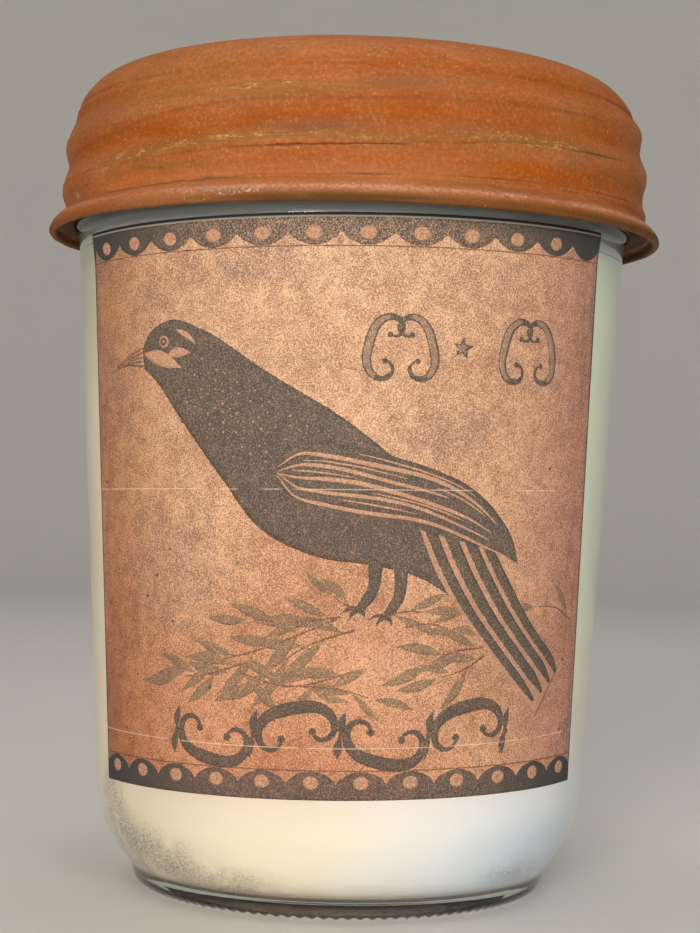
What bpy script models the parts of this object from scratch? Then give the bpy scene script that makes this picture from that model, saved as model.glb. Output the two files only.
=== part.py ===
"""A lidded jar candle: a tapered glass jar of wax, a painted steel screw cap and a paper label.

Run it with: blender --background --python part.py
Metres, +Z up. The label faces -Y. The origin is on the ground, under the middle of the cap.
Turned outlines are lists of (radius, height) in millimetres, made metres by turned().
"""

from math import asin, atan, atan2, cos, degrees, pi, radians, sin, sqrt

import bmesh
import bpy

MM = 0.001
FACETS = 52  # flats round every turned piece
GAP = 0.3  # left between pieces that touch

# the jar, millimetres
JAR_OFFSET = -0.4  # the cap sits a little off the jar's own axis, along X
TAPER = 0.056  # how much the wall's radius grows with each millimetre of height
WALL_TOP_Z = 104.0  # where the straight wall meets the bead under the cap
WALL_TOP_R = 44.7
GLASS_WALL = 2.7
HEEL_Z = 17.0  # where the straight wall turns into the rounded heel
HEEL_R = 22.0
FOOT_Z = 3.2  # the foot band starts here, below the heel
BEARING_OUTER_R = 31.7  # the flat ring that the jar stands on
BEARING_INNER_R = 29.8
PUSH_UP = 2.0  # the hollow under the base
BASE_Z = 4.3  # the inner floor
BEAD_R = 45.9
BEAD_Z = 106.7
NECK_R = 43.0
NECK_WALL = 2.8
LIP_Z = 127.0  # the glass's top edge, hidden by the cap

# the wax
WAX_LEVEL = 105.9

# the cap
CAP_TOP_Z = 130.2
CAP_SHEET = 0.7
CROWN_R = 8.5  # the round between the flat top and the side
CROWN_Z = CAP_TOP_Z - CROWN_R
CROWN_CENTRE_R = 37.6
GROOVE_Z = 124.5  # the shallow groove under the crown
GROOVE_DEPTH = 0.25
SKIRT_R = 47.55
SKIRT_LOW_Z = 109.0
SKIRT_HIGH_Z = 123.4
SKIRT_DRAW = 1.4  # how far the skirt pulls in towards the crown
FLARE_Z = 108.2  # the rim flares outwards from here
RIM_R = 50.0
RIM_Z = 104.3

# the rolled thread of the cap, which climbs to the right
THREAD_PITCH = 7.2
THREAD_DEPTH = 0.8
THREAD_CREST_Z = 113.4  # a crest's height at the front
THREAD_SWAY = 0.35  # how far the crests wander from a true helix
THREAD_FADE = 1.6

# the label
LABEL_TOP_W = 92.9  # cut to a slight fan, so that its sides follow the wall's taper
LABEL_FOOT_W = 86.3
LABEL_H = 84.3
LABEL_Z = 61.2
LABEL_TURN = -1.6  # degrees round the jar from straight ahead
LABEL_TILT = 0.94  # degrees, its right end higher
LABEL_THICK = 0.4
LABEL_COLUMNS = 24
LABEL_ROWS = 4


def clear_scene():
    for old in list(bpy.data.objects):
        bpy.data.objects.remove(old, do_unlink=True)


def new_collection(name):
    group = bpy.data.collections.new(name)
    bpy.context.scene.collection.children.link(group)
    return group


def material(name, colour, roughness, metallic=0.0, transmission=0.0):
    mat = bpy.data.materials.new(name)
    mat.use_nodes = True
    shader = mat.node_tree.nodes["Principled BSDF"]
    shader.inputs["Base Color"].default_value = (*colour, 1.0)
    shader.inputs["Roughness"].default_value = roughness
    shader.inputs["Metallic"].default_value = metallic
    shader.inputs["Transmission Weight"].default_value = transmission
    return mat


def arc(centre_r, centre_z, radius, start, end, steps):
    """Points on a circle in the (radius, height) plane; 0 degrees points away from the axis, 90 up."""
    turn = [radians(start + (end - start) * i / steps) for i in range(steps + 1)]
    return [(centre_r + radius * cos(a), centre_z + radius * sin(a)) for a in turn]


def wall_radius(z):
    """The outer radius of the jar's straight wall at a height."""
    return WALL_TOP_R - TAPER * (WALL_TOP_Z - z)


def heel_arc(inset, low_z, steps):
    """The rounded heel, moved inwards by inset, from its top down to low_z."""
    lean = atan(TAPER)
    centre_r = wall_radius(HEEL_Z) - HEEL_R * cos(lean)
    centre_z = HEEL_Z + HEEL_R * sin(lean)
    radius = HEEL_R - inset
    low = -degrees(asin((centre_z - low_z) / radius))
    return arc(centre_r, centre_z, radius, -degrees(lean), low, steps)


def turned(name, outline, mat, group, axis):
    """Turns an outline about its parent's upright axis with a Screw modifier."""
    mesh = bpy.data.meshes.new(name)
    points = [(r * MM, 0.0, z * MM) for r, z in outline]
    mesh.from_pydata(points, [(i, i + 1) for i in range(len(points) - 1)], [])
    mesh.materials.append(mat)
    piece = bpy.data.objects.new(name, mesh)
    group.objects.link(piece)
    piece.parent = axis
    screw = piece.modifiers.new("turn", "SCREW")
    screw.steps = screw.render_steps = FACETS
    screw.use_merge_vertices = True
    screw.merge_threshold = 0.00001
    screw.use_smooth_shade = True
    return piece


def upright_axis(name, x, group):
    axis = bpy.data.objects.new(name, None)
    axis.empty_display_size = 0.02
    axis.location = (x * MM, 0.0, 0.0)
    group.objects.link(axis)
    return axis


def jar_outline():
    """From the inner floor's middle, up the inside, over the lip and down the outside to the base."""
    inner_r = NECK_R - NECK_WALL
    lip = NECK_WALL / 2
    inner_heel = heel_arc(GLASS_WALL, BASE_Z + 0.4, 5)
    inside = [(0.0, BASE_Z), (inner_heel[-1][0] - 2.0, BASE_Z)]
    inside += reversed(inner_heel)
    inside += [(wall_radius(100.0) - GLASS_WALL, 100.0)]
    inside += [(wall_radius(104.0) - GLASS_WALL - 0.6, 104.0), (inner_r, 108.0)]
    inside += arc(inner_r + lip, LIP_Z - lip, lip, 180, 0, 4)
    bead = [(NECK_R, 110.4), (44.6, 109.2)]
    bead += [(BEAD_R - 0.2, BEAD_Z + 1.3), (BEAD_R, BEAD_Z), (BEAD_R - 0.25, BEAD_Z - 1.2)]
    bead += [(45.05, WALL_TOP_Z + 0.65), (WALL_TOP_R, WALL_TOP_Z)]
    foot = [(33.6, 1.6), (33.1, 0.7), (32.5, 0.2), (BEARING_OUTER_R, 0.0), (BEARING_INNER_R, 0.0)]
    hollow = [(28.4, 1.2), (24.0, PUSH_UP), (0.0, PUSH_UP)]
    return inside + bead + heel_arc(0.0, FOOT_Z, 6) + foot + hollow


def wax_outline():
    """The wax fills the jar up to its level, a gap inside the glass all round."""
    side = [(0.0, WAX_LEVEL), (40.4, WAX_LEVEL), (wall_radius(103.6) - GLASS_WALL - 0.6 - GAP, 103.6)]
    side += [(wall_radius(99.8) - GLASS_WALL - GAP, 99.8)]
    low = heel_arc(GLASS_WALL + GAP, BASE_Z + GAP + 0.5, 5)
    return side + low + [(low[-1][0] - 2.0, BASE_Z + GAP), (0.0, BASE_Z + GAP)]


def skirt_radius(z):
    """The skirt's radius before the thread is rolled: straight low down, pulled in near the crown."""
    share = (z - SKIRT_LOW_Z) / (SKIRT_HIGH_Z - SKIRT_LOW_Z)
    return SKIRT_R - SKIRT_DRAW * max(share, 0.0) ** 3


def cap_outline():
    """Down the outside of the cap from the middle of its top, round the rim and up the inside."""
    outer_rows = 12
    inner_rows = 8
    step = (SKIRT_HIGH_Z - SKIRT_LOW_Z) / outer_rows
    crown = arc(CROWN_CENTRE_R, CROWN_Z, CROWN_R, 90, 28, 5)
    crown += [(crown_radius(GROOVE_Z) - GROOVE_DEPTH, GROOVE_Z)]
    skirt_z = [SKIRT_HIGH_Z - step * i for i in range(outer_rows + 1)]
    skirt = [(skirt_radius(z), z) for z in skirt_z]
    flare = [(SKIRT_R - 0.15, FLARE_Z), (48.5, 107.05), (49.45, 106.0), (49.9, 105.3)]
    rim = [(RIM_R, 104.85), (RIM_R - 0.3, RIM_Z + 0.05), (RIM_R - 0.8, RIM_Z)]
    under = [(48.75, 104.8), (48.6, 105.7), (47.6, 106.9), (SKIRT_R - 0.15 - CAP_SHEET, 108.0)]
    inner_z = [SKIRT_LOW_Z + (SKIRT_HIGH_Z - SKIRT_LOW_Z - 0.8) * i / inner_rows for i in range(inner_rows + 1)]
    inner = [(skirt_radius(z) - CAP_SHEET, z) for z in inner_z]
    inner_crown = arc(CROWN_CENTRE_R, CROWN_Z, CROWN_R - CAP_SHEET, 20, 90, 4)
    top = [(0.0, CAP_TOP_Z)]
    return top + crown + skirt + flare + rim + under + inner + inner_crown + [(0.0, CAP_TOP_Z - CAP_SHEET)]


def crown_radius(z):
    return CROWN_CENTRE_R + sqrt(CROWN_R**2 - (z - CROWN_Z) ** 2)


def thread_push(x, y, z):
    """How far the rolled thread moves the sheet outwards at a place: a cosine wave up the skirt whose
    crests climb one pitch a turn, faded out at the groove and at the flare."""
    turn = atan2(x, -y)
    crest = THREAD_CREST_Z + THREAD_PITCH * turn / (2 * pi) + THREAD_SWAY * sin(turn)
    wave = cos(2 * pi * (z - crest) / THREAD_PITCH)
    low = min(max((z - FLARE_Z) / THREAD_FADE, 0.0), 1.0)
    high = min(max((GROOVE_Z - z) / THREAD_FADE, 0.0), 1.0)
    return THREAD_DEPTH / 2 * wave * low * high


def roll_thread(cap):
    """Makes the turned blank a real mesh and presses the thread into its sheet."""
    seen = cap.evaluated_get(bpy.context.evaluated_depsgraph_get())
    mesh = bpy.data.meshes.new_from_object(seen)
    cap.modifiers.clear()
    cap.data = mesh
    for vertex in mesh.vertices:
        x, y, z = (value / MM for value in vertex.co)
        radius = sqrt(x * x + y * y)
        if radius > SKIRT_R - 4.0:
            grow = (radius + thread_push(x, y, z)) / radius
            vertex.co.x *= grow
            vertex.co.y *= grow


def make_label(mat, group, axis):
    """A fan-cut sheet wrapped round the straight wall, a gap outside the glass, then given its thickness."""
    sheet = bmesh.new()
    bmesh.ops.create_grid(sheet, x_segments=LABEL_COLUMNS, y_segments=LABEL_ROWS, size=0.5)
    tilt = radians(LABEL_TILT)
    for vertex in sheet.verts:
        width = (LABEL_TOP_W + LABEL_FOOT_W) / 2 + (LABEL_TOP_W - LABEL_FOOT_W) * vertex.co.y
        across = vertex.co.x * width
        up = vertex.co.y * LABEL_H
        z = LABEL_Z + across * sin(tilt) + up * cos(tilt)
        radius = wall_radius(z) + GAP
        turn = radians(LABEL_TURN) + (across * cos(tilt) - up * sin(tilt)) / radius
        vertex.co = (radius * sin(turn) * MM, -radius * cos(turn) * MM, z * MM)
    bmesh.ops.recalc_face_normals(sheet, faces=sheet.faces)
    mesh = bpy.data.meshes.new("label")
    sheet.to_mesh(mesh)
    sheet.free()
    mesh.shade_smooth()
    mesh.materials.append(mat)
    label = bpy.data.objects.new("label", mesh)
    group.objects.link(label)
    label.parent = axis
    thick = label.modifiers.new("paper", "SOLIDIFY")
    thick.thickness = LABEL_THICK * MM
    thick.offset = 1.0 if mesh.polygons[0].normal.y < 0 else -1.0
    return label


def main():
    clear_scene()
    group = new_collection("jar_candle")
    glass = material("clear_glass", (0.86, 0.90, 0.88), 0.03, transmission=0.9)
    wax = material("cream_wax", (0.86, 0.84, 0.74), 0.45)
    paint = material("rust_paint", (0.50, 0.17, 0.05), 0.5)
    paper = material("aged_paper", (0.52, 0.33, 0.20), 0.8)
    jar_axis = upright_axis("jar_axis", JAR_OFFSET, group)
    cap_axis = upright_axis("cap_axis", 0.0, group)
    turned("jar_glass", jar_outline(), glass, group, jar_axis)
    turned("wax", wax_outline(), wax, group, jar_axis)
    cap = turned("lid", cap_outline(), paint, group, cap_axis)
    bpy.context.view_layer.update()
    roll_thread(cap)
    make_label(paper, group, jar_axis)


main()
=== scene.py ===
"""A lidded jar candle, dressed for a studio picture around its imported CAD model.

The jar is clear glass filled with cream wax, the lid is a brush-painted metal screw cap and the
label is aged paper with a plain print of simple shapes. Lengths named in millimetres are made
metres by MM where a mesh is filled. The label faces -Y. A turn is an angle round the upright axis,
0 at the front and growing towards +X.
"""

from math import atan, cos, pi, radians, sin

import bpy
import numpy as np
from bpy.props import FloatProperty, FloatVectorProperty, IntProperty, PointerProperty
from mathutils import Matrix, Vector


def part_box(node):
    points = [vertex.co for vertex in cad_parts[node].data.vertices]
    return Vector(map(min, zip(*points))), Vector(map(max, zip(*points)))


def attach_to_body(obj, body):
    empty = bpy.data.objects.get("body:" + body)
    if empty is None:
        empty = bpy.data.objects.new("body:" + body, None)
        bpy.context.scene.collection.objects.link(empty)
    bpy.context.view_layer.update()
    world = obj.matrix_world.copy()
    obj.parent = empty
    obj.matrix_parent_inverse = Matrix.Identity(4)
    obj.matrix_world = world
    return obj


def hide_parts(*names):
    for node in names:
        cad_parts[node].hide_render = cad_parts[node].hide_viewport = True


bl_info = {
    "name": "Jar candle",
    "version": (1, 0, 0),
    "blender": (4, 5, 0),
    "location": "View3D > Sidebar > Candle",
    "description": "Makes a lidded jar candle with its glass, wax, painted cap and paper label",
    "category": "Add Mesh",
}

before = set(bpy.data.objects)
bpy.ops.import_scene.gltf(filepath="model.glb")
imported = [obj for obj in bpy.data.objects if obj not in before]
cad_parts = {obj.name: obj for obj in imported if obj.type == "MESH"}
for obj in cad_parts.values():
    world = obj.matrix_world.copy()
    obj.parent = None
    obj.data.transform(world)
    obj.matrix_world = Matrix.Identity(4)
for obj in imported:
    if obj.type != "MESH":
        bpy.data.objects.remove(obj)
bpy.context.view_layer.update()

MM = 0.001
TURN = 2 * pi

JAR_LOW, JAR_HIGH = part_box("jar_glass")
_, WAX_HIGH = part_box("wax")
CAP_LOW, CAP_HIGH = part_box("lid")
JAR_X = (JAR_LOW.x + JAR_HIGH.x) / 2 / MM
CAP_X = (CAP_LOW.x + CAP_HIGH.x) / 2 / MM

# the jar, millimetres
TAPER = 0.056  # how much the wall's radius grows with each millimetre of height
WALL_TOP_Z = 104.0
WALL_TOP_R = 44.7
GLASS_WALL = 2.7
HEEL_Z = 17.0
HEEL_R = 22.0
FOOT_Z = 3.2
BEARING_OUTER_R = 31.7
BEARING_INNER_R = 29.8
PUSH_UP = 2.0
BASE_Z = 4.3
BEAD_R = (JAR_HIGH.x - JAR_LOW.x) / 2 / MM
BEAD_Z = 106.7
NECK_R = 43.0
NECK_WALL = 2.8
LIP_Z = JAR_HIGH.z / MM
INSIDE_ROWS = 44  # rows of the jar's outline that run up its inside
TOOTH_DEPTH = 0.45
WAX_LEVEL = WAX_HIGH.z / MM
WAX_CLIMB = 1.6  # how far the wax climbs the glass at its edge
WAX_DISH = 0.35  # how far the rest of its top lies below the stated level
WAX_SEAT = 0.8  # how much further it reaches into the glass at the foot

# the cap, millimetres
CAP_TOP_Z = CAP_HIGH.z / MM
CAP_SHEET = 0.7
CROWN_R = 8.5
CROWN_Z = CAP_TOP_Z - CROWN_R
CROWN_CENTRE_R = 37.6
GROOVE_Z = 124.5
SKIRT_R = 47.55
SKIRT_LOW_Z = 109.0
SKIRT_HIGH_Z = 123.4
SKIRT_DRAW = 1.4
FLARE_Z = 108.2
RIM_R = (CAP_HIGH.x - CAP_LOW.x) / 2 / MM
RIM_Z = CAP_LOW.z / MM
THREAD_PITCH = 7.2
THREAD_DEPTH = 0.8
THREAD_CREST_Z = 113.4
THREAD_SWAY = 0.35
THREAD_FADE = 1.6
TOP_ROWS = 10  # rows of the cap's outline across its top,
CROWN_STEPS = 26  # steps round its crown,
SIDE_ROWS = 160  # rows down the side as far as the rim's outer edge,
RIM_ROWS = 26  # and rows from there to the inside of the skirt

# the label, millimetres
LABEL_TOP_W = 92.9
LABEL_FOOT_W = 86.3
LABEL_W = (LABEL_TOP_W + LABEL_FOOT_W) / 2
LABEL_H = 84.3
LABEL_Z = 61.2
LABEL_TURN = -1.6
LABEL_TILT = 0.94

# the camera: where it stands in metres, and how its view turns, tips and rolls in degrees
CAMERA_PLACE = (-0.0004, -0.3145, 0.0633)
CAMERA_TURN = 0.11
CAMERA_TIP = 0.83
CAMERA_ROLL = 1.32


# ---------------------------------------------------------------- settings


def colour(name, description, default):
    """A colour setting, given as display values from 0 to 1."""
    return FloatVectorProperty(
        name=name, description=description, default=default, subtype="COLOR_GAMMA", size=3, min=0, max=1
    )


def length(name, description, millimetres):
    """A length setting, given in millimetres and kept in metres."""
    return FloatProperty(name=name, description=description, default=millimetres * MM, unit="LENGTH", min=0)


def share(name, description, default):
    """A setting from 0 to 1."""
    return FloatProperty(name=name, description=description, default=default, subtype="FACTOR", min=0, max=1)


def power(name, description, watts):
    """A lamp's power."""
    return FloatProperty(name=name, description=description, default=watts, unit="POWER", min=0)


class JarSettings(bpy.types.PropertyGroup):
    tint: colour("Glass tint", "Colour that light takes in the glass", (0.93, 0.97, 0.95))
    ripple: length("Glass ripple", "How far the moulded wall wanders in and out", 0.03)
    teeth: IntProperty(name="Teeth", description="Knurls round the bearing ring", default=112, min=24)
    wax_body: colour("Wax", "Main colour of the wax", (0.915, 0.845, 0.755))
    # painted shade: the wax is darker and greyer near the top, where the cap shades it
    wax_cap_shade: colour("Upper wax", "Colour of the wax near the top of the jar", (0.76, 0.75, 0.64))
    wax_spot: colour("Wet spots", "Colour where the wax has let go of the glass", (0.47, 0.42, 0.37))
    # painted light: paler, greener wax up the right side, where cooler light falls
    wax_right_light: colour("Far wax", "Colour of the wax up the right side", (0.935, 0.94, 0.86))
    # painted light: pale, bluish wax in the thin band under the cap, lifting the cap's shade
    wax_under_cap_light: colour("Top of the wax", "Colour of the thin wax under the cap", (0.89, 0.905, 0.895))
    # painted cool light: paler, bluish wax on the right of the foot
    wax_cool_light: colour("Cool wax", "Colour of the wax on the right of the foot", (0.905, 0.90, 0.93))
    wax_frost: colour("Frost", "Bluish bloom of the wax near the heel", (0.78, 0.82, 0.88))
    # painted shade and a painted brown reflection where the wax meets the foot
    wax_foot_shade: colour("Fringe", "Brown line where the wax meets the foot", (0.40, 0.27, 0.21))
    # painted shadow of the label on the wax just below it
    painted_label_shadow: colour("Under the label", "Shade on the wax just below the label", (0.94, 0.93, 0.955))
    bite: length("Bite", "How far the wax reaches into the glass, so that no air shows", 0.08)


class CapSettings(bpy.types.PropertyGroup):
    paint: colour("Paint", "Main colour of the brushed paint", (0.61, 0.31, 0.09))
    # wear and painted sheen: lighter paint in broad worn patches and on the crests, where the sheen is
    # painted
    worn: colour("Worn paint", "Paint where it is rubbed thin on the crests", (0.705, 0.445, 0.285))
    # run-in paint and painted shade: darker paint in the troughs and creases
    pooled_and_shade: colour("Pooled paint", "Paint that has run into the creases", (0.565, 0.265, 0.03))
    haze: colour("Haze", "Tan bloom in broad, soft patches", (0.62, 0.40, 0.235))
    dull: colour("Dull patches", "Purple-brown patches", (0.50, 0.31, 0.22))
    bright: colour("Bright patches", "Fresh orange patches", (0.725, 0.35, 0.07))
    ochre: colour("Ochre", "Undercoat that shows in streaks", (0.75, 0.56, 0.33))
    mud: colour("Mud", "Brown film over the ochre streaks", (0.52, 0.36, 0.19))
    metal: colour("Bare metal", "Metal where the paint has flaked", (0.80, 0.76, 0.72))
    # painted light: a paler pink patch low on the front of the skirt
    bloom: colour("Bloom", "Pink bloom low on the front", (0.80, 0.55, 0.40))
    film: colour("Film", "Thin tan film in blotches", (0.56, 0.36, 0.20))
    speckle: colour("Speckle", "Light grains of the paint", (0.80, 0.52, 0.31))
    # painted shade: darker paint on the underside of the rim
    under: colour("Under the rim", "Dark paint under the rim", (0.36, 0.24, 0.11))
    # painted shade: the dark line along each pressed crease
    crease: colour("Creases", "Dirt in the pressed creases", (0.33, 0.18, 0.07))
    # painted highlight along the top of the rim
    rim_highlight: colour("Rubbed rim", "Paint rubbed thin along the top of the rim", (0.82, 0.58, 0.43))
    inside: colour("Inside", "Lacquer inside the cap", (0.36, 0.29, 0.22))
    dust: colour("Dust", "Fine pale specks", (0.88, 0.68, 0.52))
    brush: length("Brush marks", "Depth of the brush marks", 0.05)


class LabelSettings(bpy.types.PropertyGroup):
    light: colour("Paper, light", "Light grains of the paper", (0.93, 0.745, 0.59))
    dark: colour("Paper, dark", "Dark grains of the paper", (0.62, 0.445, 0.34))
    warm: colour("Warm shade", "Shade low on the sheet", (0.86, 0.62, 0.47))
    # painted shade of the jar's curve: the paper is darker towards its left and right sides
    left: colour("Left shade", "Shade towards the left side", (0.84, 0.74, 0.68))
    right: colour("Right shade", "Shade towards the right side", (0.89, 0.815, 0.86))
    smudge: colour("Smudges", "Blots and drips", (0.42, 0.37, 0.36))
    scratch: colour("Scratches", "Thin light scratches", (0.93, 0.82, 0.72))
    band: colour("Top band", "Bare strip above the upper border", (0.60, 0.57, 0.52))
    # a dark line along the sides and the top; along the top it is a painted shadow of the gap where the edge
    # has come away
    outline: colour("Outline", "Dark line along the sides and the top", (0.13, 0.12, 0.12))
    fibre: colour("Fibre", "Grey grain of the cut edge", (0.66, 0.60, 0.53))
    edge: colour("Cut edge", "The paper's cut edge", (0.86, 0.83, 0.76))
    thickness: length("Thickness", "Thickness of the paper", 0.30)
    standoff: length("Standoff", "Gap between the paper and the glass", 0.12)
    curl: length("Curl", "How far the top edge has come away", 0.35)


class PrintSettings(bpy.types.PropertyGroup):
    dark: colour("Dark ink", "Ink of the bird and the scrolls", (0.30, 0.28, 0.255))
    rose: colour("Rose ink", "Ink of the beak and the feather streaks", (0.70, 0.52, 0.43))
    fill: colour("Scroll fill", "Ink that fills the upright scrolls and the star", (0.53, 0.435, 0.375))
    leaf: colour("Leaf ink", "Ink of the leaves", (0.455, 0.39, 0.30))
    stem: colour("Stem ink", "Ink of the stems", (0.42, 0.29, 0.24))
    border: colour("Border ink", "Ink of the two borders", (0.30, 0.28, 0.26))
    # painted shade: darker, greyer border ink towards the label's sides
    side: colour("Side ink", "Ink of the borders towards the label's sides", (0.235, 0.24, 0.24))
    bare: colour("Bare dots", "Dots left bare in the borders and the breast", (0.85, 0.63, 0.49))
    scallops: IntProperty(name="Scallops", description="Scallops along each border", default=12, min=4)
    wear: share("Wear", "How much of the ink has worn off", 0.45)
    grain: share("Ink grain", "How much the paper's grain shows through the ink", 0.18)


class StageSettings(bpy.types.PropertyGroup):
    floor: colour("Floor", "Colour of the floor and the cove", (0.86, 0.85, 0.83))
    lens: FloatProperty(name="Lens", description="Focal length", default=73.25, unit="CAMERA", min=10)
    key: power("Key", "Main lamp", 8.5)
    fill: power("Fill", "Lamp from the right", 3.6)
    top: power("Top", "Lamp overhead", 4.0)
    low: power("Low", "Lamp that looks up under the cap", 0.21)
    sky: FloatProperty(name="Sky", description="Light from all round", default=0.13, min=0)


# ---------------------------------------------------------------- curves and surfaces


def arc(centre_r, centre_z, radius, start, end, steps):
    """Points on a circle in the (radius, height) plane; 0 degrees points away from the axis, 90 up."""
    turn = np.radians(np.linspace(start, end, steps + 1))
    return np.stack([centre_r + radius * np.cos(turn), centre_z + radius * np.sin(turn)], -1)


def smooth_curve(points, count):
    """A smooth curve through points, read at count even steps of its length. Between two points it is
    the cubic that leaves one and meets the next along the mean direction of their neighbours."""
    points = np.asarray(points, float)
    knots = np.concatenate([[0.0], np.cumsum(np.linalg.norm(np.diff(points, axis=0), axis=1))])
    slopes = np.gradient(points, knots, axis=0)
    at = np.linspace(0.0, knots[-1], count)
    i = np.clip(np.searchsorted(knots, at, side="right") - 1, 0, len(knots) - 2)
    span = (knots[i + 1] - knots[i])[:, None]
    t = (at - knots[i])[:, None] / span
    leave = (2 * t**3 - 3 * t**2 + 1) * points[i] + (t**3 - 2 * t**2 + t) * span * slopes[i]
    meet = (3 * t**2 - 2 * t**3) * points[i + 1] + (t**3 - t**2) * span * slopes[i + 1]
    return leave + meet


def fade(value, low, high):
    """0 below low, 1 above high and a smooth step between; the two may stand either way round."""
    t = np.clip((value - low) / (high - low), 0.0, 1.0)
    return t * t * (3 - 2 * t)


def hump(value, centre, width):
    """A bell of height 1 that falls to about a third at width from its centre."""
    return np.exp(-(((value - centre) / width) ** 2))


def waves(turn, height, seed, count, most_round, most_up):
    """A gentle uneven surface, about -1 to 1: a sum of sine waves of random slant and phase, each going
    a whole number of times round the axis, so that it closes."""
    draw = np.random.default_rng(seed)
    total = 0.0
    for _ in range(count):
        times_round = draw.integers(-most_round, most_round + 1)
        times_up = draw.uniform(-most_up, most_up)
        total = total + np.sin(times_round * turn + times_up * height + draw.uniform(0, TURN))
    return total / np.sqrt(count)


def fill_mesh(name, points, quads, triangles=None, uv=None, fields=None):
    """An object at the origin from whole arrays: points in metres, faces of four and of three corners,
    a place on the flat sheet for each point, and named numbers for each point."""
    triangles = np.empty((0, 3), int) if triangles is None else triangles
    corners = np.concatenate([quads.ravel(), triangles.ravel()]).astype(np.int32)
    starts = np.concatenate(
        [np.arange(len(quads)) * 4, len(quads) * 4 + np.arange(len(triangles)) * 3]
    ).astype(np.int32)
    mesh = bpy.data.meshes.new(name)
    mesh.vertices.add(len(points))
    mesh.vertices.foreach_set("co", np.asarray(points, np.float32).ravel())
    mesh.loops.add(len(corners))
    mesh.loops.foreach_set("vertex_index", corners)
    mesh.polygons.add(len(starts))
    mesh.polygons.foreach_set("loop_start", starts)
    mesh.update(calc_edges=True)
    mesh.shade_smooth()
    if uv is not None:
        layer = mesh.uv_layers.new(name="sheet")
        layer.uv.foreach_set("vector", np.asarray(uv, np.float32)[corners].ravel())
    for field, values in (fields or {}).items():
        mesh.attributes.new(field, "FLOAT", "POINT").data.foreach_set(
            "value", np.asarray(values, np.float32).ravel()
        )
    if mesh.validate():
        raise RuntimeError(f"the mesh of {name} has faulty faces")
    piece = bpy.data.objects.new(name, mesh)
    bpy.context.scene.collection.objects.link(piece)
    return piece


def turned(name, radius, height, turn, axis_x, fields=None):
    """A closed turned surface. Its first and last rows are single points on the axis, and each row
    between is a ring: the point at a turn is (radius sin turn, -radius cos turn, height)."""
    rings = radius[1:-1]
    rows, columns = rings.shape
    ring_points = np.stack([rings * np.sin(turn), -rings * np.cos(turn), height[1:-1]], -1).reshape(-1, 3)
    ends = np.array([[0.0, 0.0, height[0, 0]], [0.0, 0.0, height[-1, 0]]])
    points = np.concatenate([ends[:1], ring_points, ends[1:]]) + (axis_x, 0.0, 0.0)
    index = 1 + np.arange(rows * columns).reshape(rows, columns)
    beside = np.roll(index, -1, axis=1)
    quads = np.stack([index[:-1], index[1:], beside[1:], beside[:-1]], -1).reshape(-1, 4)
    first = np.zeros(columns, int)
    last = np.full(columns, rows * columns + 1)
    top = np.stack([first, index[0], beside[0]], -1)
    bottom = np.stack([index[-1], last, beside[-1]], -1)
    flat = {}
    for field, values in (fields or {}).items():
        flat[field] = np.concatenate([[values[0, 0]], values[1:-1].ravel(), [values[-1, 0]]])
    return fill_mesh(name, points * MM, quads, np.concatenate([top, bottom]), fields=flat)


def spread(outline, columns):
    """An outline's radii and heights as rows, repeated for each column, and each column's turn."""
    turn = np.arange(columns) * TURN / columns
    ones = np.ones(columns)
    return outline[:, :1] * ones, outline[:, 1:] * ones, turn


# ---------------------------------------------------------------- the node trees


def linear(value):
    """Display colour values made linear, with full alpha."""
    value = np.asarray(value, float)
    low = value / 12.92
    high = ((value + 0.055) / 1.055) ** 2.4
    return (*np.where(value <= 0.04045, low, high).tolist(), 1.0)


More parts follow.
